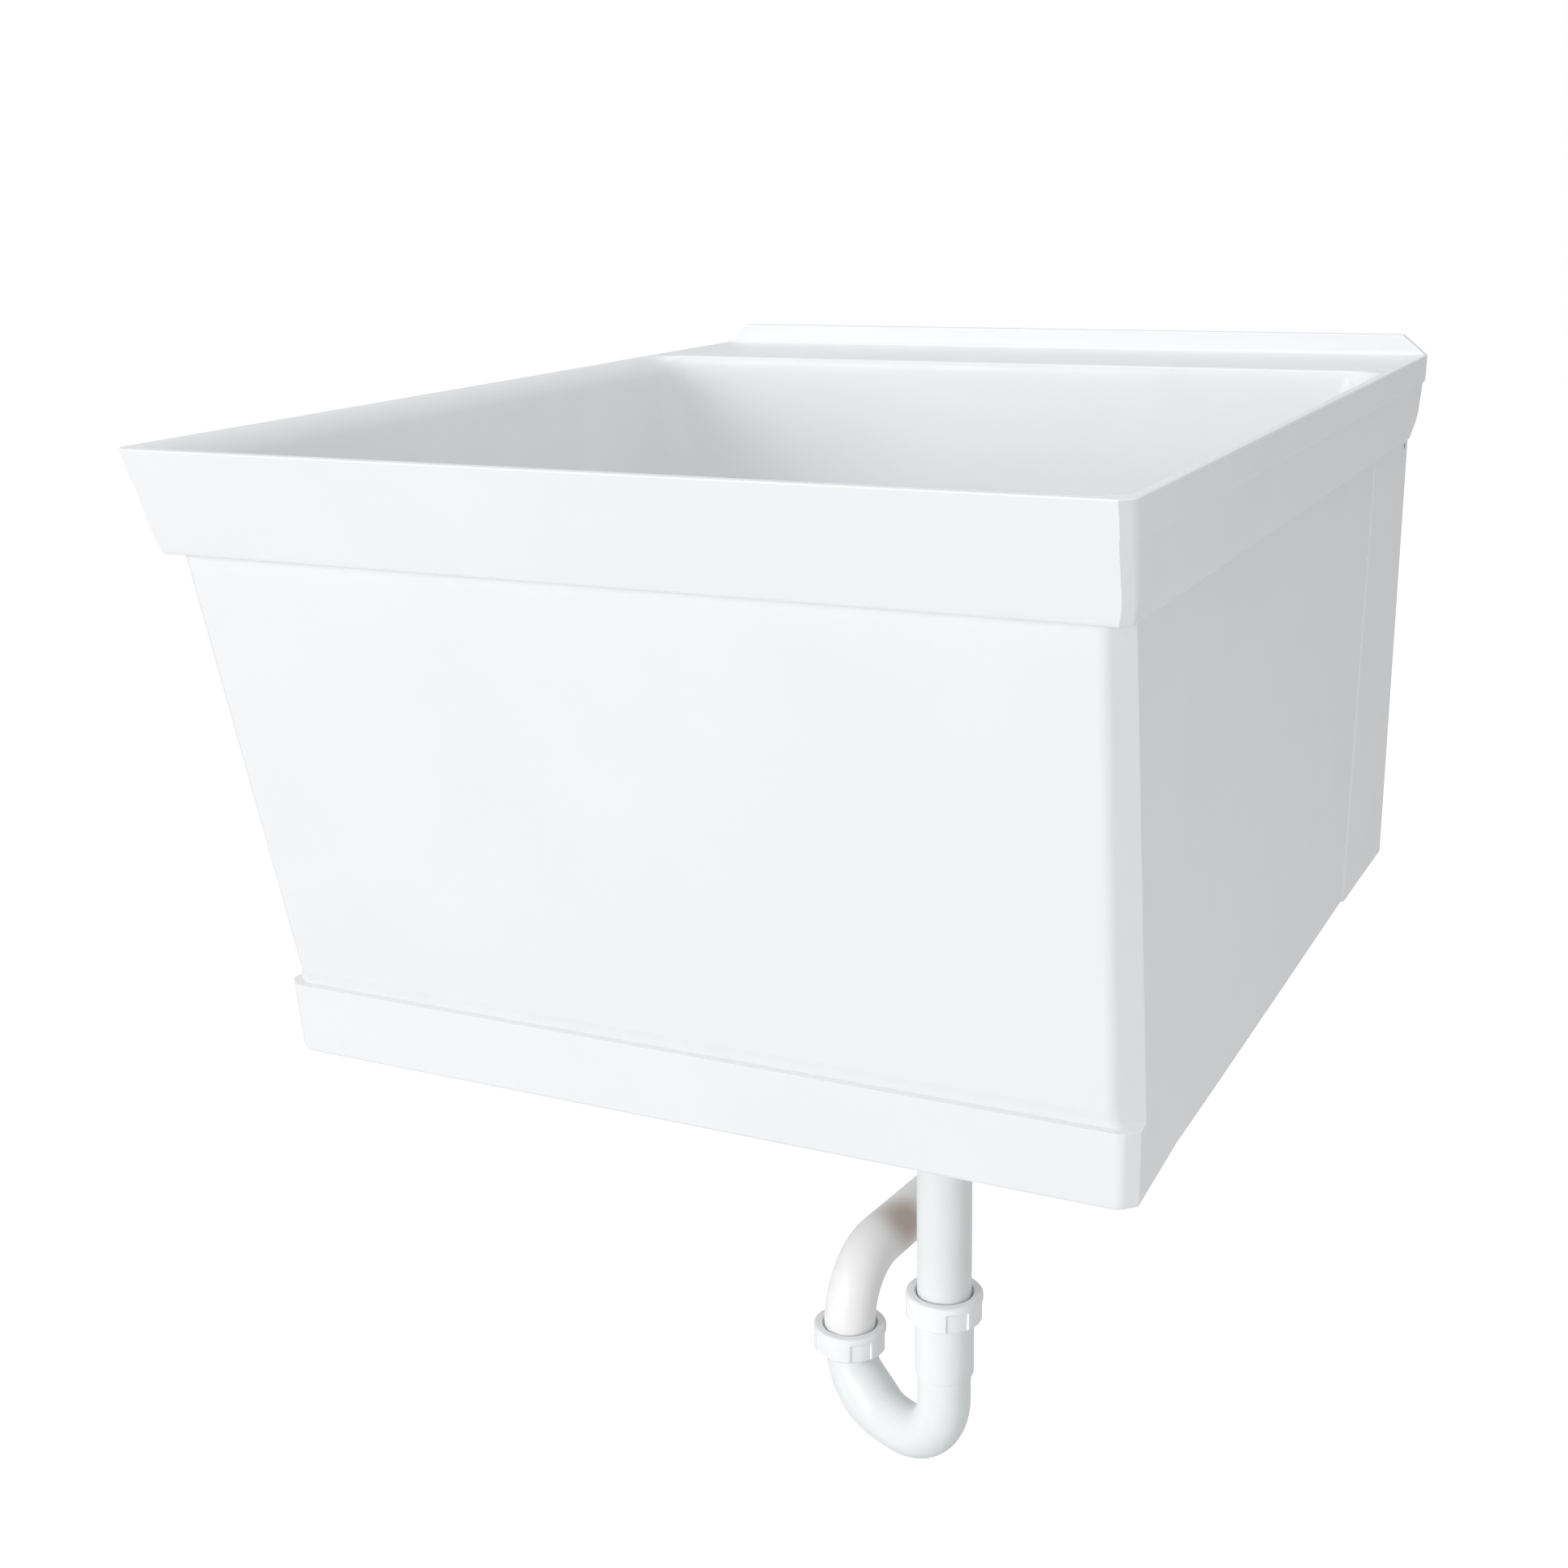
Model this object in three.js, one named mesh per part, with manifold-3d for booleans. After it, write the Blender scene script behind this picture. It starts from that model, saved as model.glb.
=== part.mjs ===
// Wall-hung utility laundry sink: a one-piece moulded plastic tub on a steel wall hanger,
// with its drain, a long tailpiece and a tubular P-trap.
// Millimetres, +Z up, +X to the right seen from the front, the wall behind at y = 0.
// The origin is the middle of the hanger's back face, where it is screwed to the wall.
import * as THREE from 'three';
import { mergeVertices } from 'three/addons/utils/BufferGeometryUtils.js';
import Module from 'manifold-3d';

const wasm = await Module();
wasm.setup();

// ---- driving dimensions: tub --------------------------------------------------------------
const rimWidth = 508;          // 20 in across the rim
const rimDepth = 649;          // wall to the front lip
const tubHeight = 341;         // rim top to the bottom edge of the skirt
const floorLift = 38;          // drain seat above the bottom edge
const wall = 5;                // moulded wall

const apronHeight = 54;        // turned-down rim
const apronLean = 19;          // how far the front apron runs back towards its bottom edge
const apronStep = 6.5;         // front apron proud of the panel under it
const rimTaper = 2.2;          // each side of the rim draws in by this much towards the wall
const rimCornerRound = 2;      // front corners: a soft round, then a flat facet at 45 degrees
const rimCornerFacet = 6.8;
const lipRound = 2.5;          // outer top edge of the lip
const lipRollWidth = 13;       // lip rolls over into the basin
const lipRollDrop = 12;
const frontLipExtra = 2;       // the front lip is this much wider than the side lips
const sideBandDrop = 16;       // upright band at the top of the side rim
const sideBandStep = 1.4;
const sideBandDraft = 0.4;     // the band's bottom edge is in by this much
const sideFlankDrop = 36;      // side rim turns in below this
const sideFlankDraft = 0.8;
const sideUndersideProud = 1.2;  // bottom edge of the side rim proud of the wall under it

const bodySideTopFront = 244.4;  // half widths of the outer side walls
const bodySideTopBack = 241.2;
const bodySideLowFront = 237.8;
const bodySideLowBack = 238.6;
const panelLean = 50.7;        // how far the front panel runs back down to the groove
const bodyCornerRound = 7;
const bodyCornerFacet = 10.8;
const skirtHeight = 40.5;      // upright band along the bottom front edge
const skirtProud = 3;
const skirtLean = 3;
const skirtCornerRound = 4.7;
const skirtCornerFacet = 4.9;
const underCornerRadius = 15;  // inside of the skirt
const grooveHeight = 14;       // hollow above the skirt
const grooveDepth = 1.3;
const bottomRise = 5;          // the bottom edge is this much higher at the wall

const ledgeDepth = 122;        // flat deck between the basin and the wall
const deckThickness = 6;
const basinDraft = 8;          // basin's back wall runs forwards towards the floor
const basinTopRadius = 20;
const floorFall = 13;          // floor falls to the drain
const floorFillet = 24;
const seatStep = 0.8;          // drain seat is let into the floor by this much
const splashHeight = 12.7;
const splashThickness = 6;
const splashEndCut = 15.5;
const splashEndInset = 0.6;
const rearFlangeDrop = 50;     // flange behind the deck that drops into the hanger
const pillarTopWidth = 106;    // side webs behind the basin, slightly proud
const pillarFootWidth = 116;
const pillarProudTop = 1.6;
const pillarProudLow = 2.8;
const pillarEdgeRound = 0.6;
const pilotHoleRadius = 1.5;
const pilotHoleFromWall = 12;
const pilotHoleBelowRim = 3.5;

// ---- driving dimensions: wall hanger and its screws ---------------------------------------
const hangerLength = 380;
const hangerPlateHeight = 96;
const hangerGauge = 2.5;
const hangerUpstand = 20;
const screwSpacingX = 300;
const screwSpacingZ = 45;
const screwTopDrop = 24.25;    // hanger shelf to the upper row of screws
const screwRadius = 3.1;
const screwLength = 38;
const screwHeadAcrossFlats = 11;
const screwHeadHeight = 4.5;
const screwHoleRadius = 3.5;
const washerRadius = 8;
const washerThickness = 1.6;

// ---- driving dimensions: drain, tailpiece and trap ----------------------------------------
const drainFromWall = 201.7;
const drainFlangeRadius = 34;
const drainFlangeThickness = 3;
const drainBodyRadius = 24;
const drainBodyLength = 48;
const drainBoreTop = 21;
const drainBoreRadius = 17.4;
const strainerDrop = 14;
const strainerBar = 3;
const threadRadius = 22.9;     // outside of every slip-joint thread
const drainThreadLength = 23;
const gasketThickness = 1.4;
const rubberWasherRadius = 36;
const rubberWasherThickness = 3;
const frictionRingRadius = 34;
const frictionRingThickness = 1;
const locknutRadius = 37;
const locknutHeight = 10;
const locknutLugs = 8;
const locknutTurn = 0.09;
const stopperHeight = 15;
const stopperKnobRadius = 7;
const stopperKnobHeight = 13;

const tubeRadius = 19.05;      // 1-1/2 in tube
const tubeWall = 1.65;
const tailpieceLength = 306;   // 12 in tube under its flange
const tailFlangeThickness = 2;
const slipWasherHeight = 3.6;

const nutRadius = 27.1;
const nutRecess = 1.5;
const nutLugs = 5;
const nutHeight = 19.5;
const nutCapThickness = 1.8;
const nutHoleRadius = 20.6;
const nutBevel = 1.4;
const nutTurn = -48;           // degrees from +X to the middle of a hollow between two lugs

const nutLevelDrop = 71;       // outlet nut sits this much lower
const socketRadius = 20.8;
const socketEngagement = 27;   // tailpiece inside the inlet leg
const mouthBevel = 1.6;
const socketLength = 57.4;     // mouth of the inlet leg to its shoulder
const shoulderEdge = 0.6;      // crisp lower edge of the inlet leg
const inletBendRadius = 46.5;
const outletBendRadius = 44;
const bendTubeRadius = 18.9;
const bendTubeWall = 2.2;
const legSpacing = 103;        // trap legs, centre to centre
const legTurn = 154.3;         // degrees from +X: the bend swings left and back
const armTurn = 84;            // degrees from +X: the arm runs back to the wall
const armElbowRadius = 45.4;
const armEngagement = 8.7;     // arm inside the outlet leg
const elbowRise = 1;           // straight tube over the outlet nut before the elbow

// ---- clearances ---------------------------------------------------------------------------
const faceGap = 0.1;           // between flat faces that touch
const runningGap = 0.3;        // round pieces inside each other
const cut = 1;                 // how far a cutting body runs past what it cuts
const overlap = 4;             // how far joined bodies run into each other
const quarter = Math.PI / 2;

// ---- roundness ----------------------------------------------------------------------------
const cornerSteps = 6;
const floorSteps = 6;          // points along each side where the floor runs to the round drain seat
const roundSteps = 24;
const pipeSides = 10;          // half the number of flats round a bent pipe
const bendSteps = 20;
const armSteps = 15;

const materials = {
  tub: new THREE.MeshStandardMaterial({ color: 0xf3f5f7, roughness: 0.35, metalness: 0 }),
  pipe: new THREE.MeshStandardMaterial({ color: 0xf2f1ef, roughness: 0.4, metalness: 0 }),
  drain: new THREE.MeshStandardMaterial({ color: 0xeceded, roughness: 0.4, metalness: 0 }),
  rubber: new THREE.MeshStandardMaterial({ color: 0x2a2a2b, roughness: 0.8, metalness: 0 }),
  washer: new THREE.MeshStandardMaterial({ color: 0xd9dde0, roughness: 0.5, metalness: 0 }),
  steel: new THREE.MeshStandardMaterial({ color: 0xb4b8ba, roughness: 0.4, metalness: 0.9 }),
};

// ---- solids -------------------------------------------------------------------------------

// A closed geometry as a solid that can be joined and cut.
function solidOf(geometry) {
  const bare = new THREE.BufferGeometry();
  bare.setAttribute('position', geometry.getAttribute('position').clone());
  if (geometry.index) bare.setIndex(geometry.index.clone());
  const merged = mergeVertices(bare, 1e-4);
  const kept = [];
  const index = merged.index.array;
  for (let i = 0; i < index.length; i += 3) {
    const [a, b, c] = [index[i], index[i + 1], index[i + 2]];
    if (a !== b && b !== c && c !== a) kept.push(a, b, c);
  }
  return new wasm.Manifold(new wasm.Mesh({
    numProp: 3,
    vertProperties: new Float32Array(merged.getAttribute('position').array),
    triVerts: new Uint32Array(kept),
  }));
}

function join(...solids) {
  return solids.reduce((whole, piece) => whole.add(piece));
}

function meshOf(name, solid, material) {
  const data = solid.getMesh();
  const geometry = new THREE.BufferGeometry();
  geometry.setAttribute('position', new THREE.BufferAttribute(new Float32Array(data.vertProperties), 3));
  geometry.setIndex(new THREE.BufferAttribute(new Uint32Array(data.triVerts), 1));
  geometry.computeVertexNormals();
  const mesh = new THREE.Mesh(geometry, material);
  mesh.name = name;
  return mesh;
}

// A turned piece about the vertical line through (x, y). The profile lists [radius, z] pairs
// with the material on the left: up the outside, in over the top, down the bore.
function turned(profile, x = 0, y = 0, steps = roundSteps) {
  const points = profile.map(([r, z]) => new THREE.Vector2(r, z));
  const ring = profile[0][0] > 0;
  if (ring) points.push(points[0].clone());
  const geometry = new THREE.LatheGeometry(points, steps);
  geometry.rotateX(Math.PI / 2);
  geometry.translate(x, y, 0);
  return solidOf(geometry);
}

function ringProfile(inner, outer, low, high) {
  return [[outer, low], [outer, high], [inner, high], [inner, low]];
}

function discProfile(radius, low, high) {
  return [[0, low], [radius, low], [radius, high], [0, high]];
}

function box(x0, x1, y0, y1, z0, z1) {
  const geometry = new THREE.BoxGeometry(x1 - x0, y1 - y0, z1 - z0);
  geometry.translate((x0 + x1) / 2, (y0 + y1) / 2, (z0 + z1) / 2);
  return solidOf(geometry);
}

function cornerArc(x, y, radius, from, span, steps) {
  return Array.from({ length: steps + 1 }, (_, i) => {
    const angle = THREE.MathUtils.degToRad(from + (span * i) / steps);
    return new THREE.Vector2(x + radius * Math.cos(angle), y + radius * Math.sin(angle));
  });
}

// A front right corner: softly rounded off the front, then a flat facet that meets the side in
// a crease. It has as many points as a round corner.
function facetCorner(side, front, round, facet) {
  const centreX = side - facet - round * Math.SQRT1_2;
  const soft = cornerArc(centreX, front + round, round, 270, 45, cornerSteps - 1);
  return [...soft, new THREE.Vector2(side, front + round * (1 - Math.SQRT1_2) + facet)];
}

// One outline of the tub seen from above: straight sides that may draw in towards the wall,
// round corners at the wall, and round or faceted corners at the front.
function outline({ z, front, back, sideFront, sideBack, radiusFront, radiusBack, facet = 0, sideSteps = 1 }) {
  const right = facet > 0
    ? facetCorner(sideFront, front, radiusFront, facet)
    : cornerArc(sideFront - radiusFront, front + radiusFront, radiusFront, 270, 90, cornerSteps);
  const left = right.map((p) => new THREE.Vector2(-p.x, p.y)).reverse();
  const arcs = [
    cornerArc(sideBack - radiusBack, back - radiusBack, radiusBack, 0, 90, cornerSteps),
    cornerArc(radiusBack - sideBack, back - radiusBack, radiusBack, 90, 90, cornerSteps),
    left,
    right,
  ];
  const flat = arcs.flatMap((arc, k) => {
    const next = arcs[(k + 1) % arcs.length][0];
    const side = Array.from({ length: sideSteps - 1 }, (_, i) => (
      arc.at(-1).clone().lerp(next, (i + 1) / sideSteps)));
    return [...arc, ...side];
  });
  return flat.map((p) => new THREE.Vector3(p.x, p.y, z));
}

// The same number of points on a circle round the drain, each in line with its outline point.
function drainCircle(points, radius, z) {
  return points.map((point) => {
    const angle = Math.atan2(point.y + drainFromWall, point.x);
    return new THREE.Vector3(radius * Math.cos(angle), radius * Math.sin(angle) - drainFromWall, z);
  });
}

// A closed body through a stack of outlines, lowest first, with flat ends.
function loft(rings) {
  const count = rings[0].length;
  const positions = rings.flat().flatMap((p) => [p.x, p.y, p.z]);
  const index = [];
  for (let k = 0; k + 1 < rings.length; k += 1) {
    for (let i = 0; i < count; i += 1) {
      const a = k * count + i;
      const b = k * count + ((i + 1) % count);
      index.push(a, b, b + count, a, b + count, a + count);
    }
  }
  const capOf = (ring, offset, flipped) => {
    const flat = ring.map((p) => new THREE.Vector2(p.x, p.y));
    for (const [a, b, c] of THREE.ShapeUtils.triangulateShape(flat, [])) {
      if (flipped) index.push(offset + c, offset + b, offset + a);
      else index.push(offset + a, offset + b, offset + c);
    }
  };
  capOf(rings[0], 0, true);
  capOf(rings.at(-1), (rings.length - 1) * count, false);
  const geometry = new THREE.BufferGeometry();
  geometry.setAttribute('position', new THREE.Float32BufferAttribute(positions, 3));
  geometry.setIndex(index);
  return solidOf(geometry);
}

// A pipe's centre line: straight runs and round bends, one after another.
class PipeRoute extends THREE.Curve {
  constructor(start, direction, legs) {
    super();
    this.legs = [];
    this.total = 0;
    let at = start.clone();
    let heading = direction.clone().normalize();
    for (const leg of legs) {
      const side = leg.towards ? leg.towards.clone().normalize() : null;
      const length = side ? leg.radius * leg.angle : leg.length;
      const made = { at, heading, side, radius: leg.radius, length, from: this.total };
      this.legs.push(made);
      this.total += length;
      at = this.along(made, length);
      heading = this.headingAt(made, length);
    }
    this.end = at;
    this.endHeading = heading;
  }

  along(leg, distance) {
    if (!leg.side) return leg.at.clone().addScaledVector(leg.heading, distance);
    const turn = distance / leg.radius;
    return leg.at.clone()
      .addScaledVector(leg.heading, leg.radius * Math.sin(turn))
      .addScaledVector(leg.side, leg.radius * (1 - Math.cos(turn)));
  }

  headingAt(leg, distance) {
    if (!leg.side) return leg.heading.clone();
    const turn = distance / leg.radius;
    return leg.heading.clone().multiplyScalar(Math.cos(turn)).addScaledVector(leg.side, Math.sin(turn));
  }

  getPoint(t) {
    const distance = t * this.total;
    const leg = this.legs.findLast((candidate) => candidate.from <= distance) ?? this.legs[0];
    return this.along(leg, distance - leg.from);
  }
}

function sweep(route, radius, steps, sides) {
  const section = new THREE.Shape();
  section.absarc(0, 0, radius, 0, Math.PI * 2);
  const settings = { steps, curveSegments: sides, extrudePath: route };
  return solidOf(new THREE.ExtrudeGeometry(section, settings));
}

// ---- levels and places worked out from the driving dimensions -----------------------------
const tubBottom = -tubHeight;
const basinDepth = tubHeight - floorLift;
const drainSeat = -basinDepth;
const floorEdge = drainSeat + floorFall;
const sideHalf = rimWidth / 2;
const panelTop = -(rimDepth - apronLean - apronStep);
const skirtTop = tubBottom + skirtHeight;
const grooveTop = skirtTop + grooveHeight;
const panelDepth = -panelTop - panelLean;
const drainY = -drainFromWall;
const drainSeatRadius = drainFlangeRadius + 4;
const drainBossRadius = rubberWasherRadius + 8;
const floorUnderside = drainSeat - wall - cut;

const mix = (a, b, t) => a + (b - a) * t;
const rimSide = (y) => sideHalf - rimTaper * (1 + y / rimDepth);
const apronFront = (z) => -rimDepth + (apronLean * -z) / apronHeight;
const panelShare = (z) => (-z - apronHeight) / (-grooveTop - apronHeight);
const panelFront = (z) => panelTop + panelLean * panelShare(z);
const bodyShare = (z) => THREE.MathUtils.clamp((-z - apronHeight) / (tubHeight - apronHeight), 0, 1);
const bodySideFront = (z) => mix(bodySideTopFront, bodySideLowFront, bodyShare(z));
const bodySideBack = (z) => mix(bodySideTopBack, bodySideLowBack, bodyShare(z));
const basinBack = (z) => -ledgeDepth - (basinDraft * -z) / basinDepth;

// ---- tub ----------------------------------------------------------------------------------

function rimBlock() {
  const ring = (z, sideFront, sideBack, frontShift = 0) => outline({
    z,
    front: apronFront(z) + frontShift,
    back: 0,
    sideFront,
    sideBack,
    radiusFront: rimCornerRound,
    radiusBack: lipRound,
    facet: rimCornerFacet,
  });
  const inset = (z, amount, frontShift) => ring(z, sideHalf - amount, rimSide(0) - amount, frontShift);
  const flank = sideBandStep + sideBandDraft;
  const footFront = bodySideTopFront + sideUndersideProud;
  const footBack = bodySideTopBack + pillarProudTop + sideUndersideProud;
  const knee = 0.3;
  return loft([
    ring(-apronHeight, footFront, footBack),
    ring(-apronHeight + overlap, mix(footFront, sideHalf - flank, knee), mix(footBack, rimSide(0) - flank, knee)),
    inset(-sideFlankDrop, flank + sideFlankDraft),
    inset(-sideBandDrop - sideBandStep, flank),
    inset(-sideBandDrop, sideBandDraft),
    inset(-lipRound, 0),
    inset(-lipRound * 0.3, lipRound * 0.3, lipRound * 0.3),
    inset(0, lipRound, lipRound),
  ]);
}

function bodyBlock() {
  const ring = (z, front, round, facet) => outline({
    z,
    front,
    back: -cut,
    sideFront: bodySideFront(z),
    sideBack: bodySideBack(z),
    radiusFront: round,
    radiusBack: 0.5,
    facet,
  });
  const skirt = (z, front) => ring(z, front, skirtCornerRound, skirtCornerFacet);
  const panel = (z, front) => ring(z, front, bodyCornerRound, bodyCornerFacet);
  const skirtFront = panelFront(skirtTop) - skirtProud;
  const hollow = (z) => panel(z, panelFront(z) + grooveDepth);
  return loft([
    skirt(tubBottom - cut, skirtFront + skirtLean),
    skirt(skirtTop, skirtFront),
    hollow(skirtTop + 0.8),
    hollow(skirtTop + grooveHeight / 3),
    panel(grooveTop, panelFront(grooveTop)),
    panel(-apronHeight + overlap, panelFront(-apronHeight)),
  ]);
}

function pillars() {
  const ring = (z, width, proud) => outline({
    z,
    front: -width,
    back: 0,
    sideFront: bodySideBack(z) + proud,
    sideBack: bodySideBack(z) + proud,
    radiusFront: pillarEdgeRound,
    radiusBack: lipRound,
    facet: proud + pillarEdgeRound,
  });
  return loft([
    ring(tubBottom - cut, pillarFootWidth, pillarProudLow),
    ring(-apronHeight + overlap, pillarTopWidth, pillarProudTop),
  ]);
}

// Everything under the bottom edge, which climbs a little towards the wall.
function belowBottomEdge() {
  const side = new THREE.Shape([
    new THREE.Vector2(-rimDepth, tubBottom - 2 * cut),
    new THREE.Vector2(2 * cut, tubBottom - 2 * cut),
    new THREE.Vector2(2 * cut, tubBottom + bottomRise),
    new THREE.Vector2(-panelDepth, tubBottom),
    new THREE.Vector2(-rimDepth, tubBottom),
  ]);
  const geometry = new THREE.ExtrudeGeometry(side, { depth: rimWidth, bevelEnabled: false });
  geometry.translate(0, 0, -rimWidth / 2);
  geometry.rotateX(quarter);
  geometry.rotateZ(quarter);
  return solidOf(geometry);
}

function backsplash() {
  const foot = rimSide(0) - splashEndInset;
  const shape = new THREE.Shape([
    new THREE.Vector2(-foot, -cut),
    new THREE.Vector2(foot, -cut),
    new THREE.Vector2(foot, 0),
    new THREE.Vector2(foot - splashEndCut, splashHeight),
    new THREE.Vector2(-foot + splashEndCut, splashHeight),
    new THREE.Vector2(-foot, 0),
  ]);
  const geometry = new THREE.ExtrudeGeometry(shape, { depth: splashThickness, bevelEnabled: false });
  geometry.rotateX(Math.PI / 2);
  return solidOf(geometry);
}

// Inside of the basin: the rolled lip, drafted walls, round floor corners and a sloped floor.
function basinCavity() {
  const ring = (z, inset, frontShift = 0, lift = 0) => outline({
    z: z + lift,
    front: (z < -apronHeight ? panelFront(z) : panelTop) + wall + inset + frontShift,
    back: basinBack(z) - inset,
    sideFront: bodySideFront(z) - wall - inset,
    sideBack: bodySideBack(z) - wall - inset,
    radiusFront: basinTopRadius,
    radiusBack: basinTopRadius,
    sideSteps: floorSteps,
  });
  const lip = (z, width) => outline({
    z,
    front: -rimDepth + width + frontLipExtra,
    back: -ledgeDepth + (lipRollWidth - width) * 0.18,
    sideFront: sideHalf - width,
    sideBack: rimSide(-ledgeDepth) - width,
    radiusFront: basinTopRadius,
    radiusBack: basinTopRadius,
    sideSteps: floorSteps,
  });
  const walls = ring(floorEdge + floorFillet, 0);
  const fillet = [30, 60].map((degrees) => {
    const angle = THREE.MathUtils.degToRad(degrees);
    const z = floorEdge + floorFillet * (1 - Math.sin(angle));
    return ring(z, floorFillet * (1 - Math.cos(angle)));
  });
  const floorRing = ring(floorEdge, floorFillet);
  return loft([
    drainCircle(floorRing, drainSeatRadius + 4, drainSeat + seatStep),
    floorRing,
    ...fillet.reverse(),
    walls,
    ring(-apronHeight, 0),
    lip(-lipRollDrop, lipRollWidth),
    lip(-lipRollDrop * 0.38, lipRollWidth * 0.77),
    lip(-lipRollDrop * 0.09, lipRollWidth * 0.46),
    lip(0, lipRound + 1.2),
    lip(splashHeight + cut, lipRound + 1.2),
  ]);
}

// Open space under the floor, inside the skirt.
function underCavity() {
  const ring = (z, inset) => outline({
    z,
    front: panelFront(Math.max(z, skirtTop)) + wall + grooveDepth + inset,
    back: -ledgeDepth + 2 * wall,
    sideFront: bodySideFront(z) - wall - inset,
    sideBack: bodySideBack(z) - wall - inset,
    radiusFront: underCornerRadius,
    radiusBack: cut,
    sideSteps: floorSteps,
  });
  const edge = floorEdge - wall;
  const shoulder = ring(edge - 0.5, floorFillet * 0.8);
  return loft([
    ring(tubBottom - 2 * cut, 0),
    ring(edge - 8, 0),
    shoulder,
    drainCircle(shoulder, drainBossRadius + 4.5, floorUnderside - seatStep),
  ]);
}

// Open space behind the basin's back wall, between the side webs. It is open at the wall below
// the flange that drops into the hanger.
function rearCavity() {
  const ring = (z, back) => outline({
    z,
    front: -ledgeDepth + wall,
    back,
    sideFront: bodySideBack(z) - wall,
    sideBack: bodySideBack(z) - wall,
    radiusFront: 6,
    radiusBack: 0.5,
  });
  return loft([
    ring(tubBottom - 2 * cut, cut),
    ring(-rearFlangeDrop, cut),
    ring(-rearFlangeDrop, -splashThickness),
    ring(-deckThickness, -splashThickness),
  ]);
}

function pilotHoles() {
  const length = rimWidth + 2 * cut;
  const geometry = new THREE.CylinderGeometry(pilotHoleRadius, pilotHoleRadius, length, 10);
  geometry.rotateZ(Math.PI / 2);
  geometry.translate(0, -pilotHoleFromWall, -apronHeight - pilotHoleBelowRim);
  return solidOf(geometry);
}

function tub() {
  const holeRadius = drainBodyRadius + 2 * runningGap;
  const drainHole = turned([
    [0, tubBottom - 2 * cut],
    [drainBossRadius, tubBottom - 2 * cut],
    [drainBossRadius, floorUnderside],
    [holeRadius, floorUnderside],
    [holeRadius, drainSeat],
    [drainSeatRadius, drainSeat],
    [drainSeatRadius, floorEdge],
    [0, floorEdge],
  ], 0, drainY);
  const shell = join(rimBlock(), bodyBlock(), pillars(), backsplash())
    .subtract(basinCavity())
    .subtract(underCavity())
    .subtract(rearCavity())
    .subtract(belowBottomEdge())
    .subtract(drainHole)
    .subtract(pilotHoles());
  return meshOf('tub', shell, materials.tub);
}

// ---- wall hanger --------------------------------------------------------------------------
const shelfTop = -rearFlangeDrop - faceGap;
const shelfBottom = shelfTop - hangerGauge;
const hangerMiddle = (shelfTop + shelfBottom - hangerPlateHeight) / 2;
const upstandBack = -splashThickness - runningGap;
const screwPlaces = [-1, 1].flatMap((side) => [0, 1].map((row) => ({
  x: (side * screwSpacingX) / 2,
  z: shelfBottom - screwTopDrop - row * screwSpacingZ,
})));

function horizontalRod(radius, y0, y1, x, z, sides) {
  const geometry = new THREE.CylinderGeometry(radius, radius, y1 - y0, sides);
  geometry.translate(x, (y0 + y1) / 2, z);
  return solidOf(geometry);
}

function wallHanger() {
  const half = hangerLength / 2;
  const plate = box(-half, half, -hangerGauge, 0, shelfBottom - hangerPlateHeight, shelfBottom + cut);
  const shelf = box(-half, half, upstandBack - hangerGauge, 0, shelfBottom, shelfTop);
  const upstand = box(-half, half, upstandBack - hangerGauge, upstandBack, shelfBottom, shelfTop + hangerUpstand);
  const holes = screwPlaces.map(({ x, z }) => (
    horizontalRod(screwHoleRadius, -hangerGauge - cut, cut, x, z, 16)));
  const solid = holes.reduce((whole, hole) => whole.subtract(hole), join(plate, shelf, upstand));
  return meshOf('wall_hanger', solid, materials.steel);
}

function hangerScrews() {
  const washerFront = -hangerGauge - faceGap - washerThickness;
  const headBack = washerFront - faceGap;
  const headRadius = screwHeadAcrossFlats / Math.sqrt(3);
  return screwPlaces.flatMap(({ x, z }, i) => {
    const bore = screwRadius + runningGap;
    const washer = horizontalRod(washerRadius, washerFront, washerFront + washerThickness, x, z, 20)
      .subtract(horizontalRod(bore, washerFront - cut, cut, x, z, 12));
    const shank = horizontalRod(screwRadius, headBack - cut, screwLength + headBack, x, z, 12);
    const head = horizontalRod(headRadius, headBack - screwHeadHeight, headBack, x, z, 6);
    return [
      meshOf(`lag_screw_${i + 1}`, join(shank, head), materials.steel),
      meshOf(`screw_washer_${i + 1}`, washer, materials.steel),
    ];
  });
}

// ---- drain --------------------------------------------------------------------------------
const gasketLow = drainSeat + faceGap;
const flangeLow = gasketLow + gasketThickness + faceGap;
const drainBodyBottom = flangeLow - drainBodyLength;
const rubberTop = floorUnderside - faceGap;
const ringTop = rubberTop - rubberWasherThickness - faceGap;
const locknutTop = ringTop - frictionRingThickness - faceGap;
const looseBore = drainBodyRadius + runningGap;

function strainerBars() {
  const low = flangeLow - strainerDrop;
  const reach = drainBoreRadius + 1.5;
  const half = strainerBar / 2;
  const acrossX = box(-reach, reach, drainY - half, drainY + half, low - strainerBar, low);
  const acrossY = box(-half, half, drainY - reach, drainY + reach, low - strainerBar, low);
  return join(acrossX, acrossY);
}

function drainBody() {
  const flangeTop = flangeLow + drainFlangeThickness;
  const threadTop = drainBodyBottom + drainThreadLength;
  const profile = [
    [threadRadius, drainBodyBottom],
    [threadRadius, threadTop],
    [drainBodyRadius, threadTop + 1],
    [drainBodyRadius, flangeLow],
    [drainFlangeRadius, flangeLow],
    [drainFlangeRadius, flangeTop - 1.8],
    [drainFlangeRadius - 2, flangeTop],
    [drainBoreTop + 4, flangeTop - 0.4],
    [drainBoreTop, flangeLow - 2],
    [drainBoreRadius, flangeLow - strainerDrop],
    [drainBoreRadius, drainBodyBottom],
  ];
  const solid = join(turned(profile, 0, drainY), strainerBars());
  return meshOf('drain_body', solid, materials.drain);
}

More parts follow.
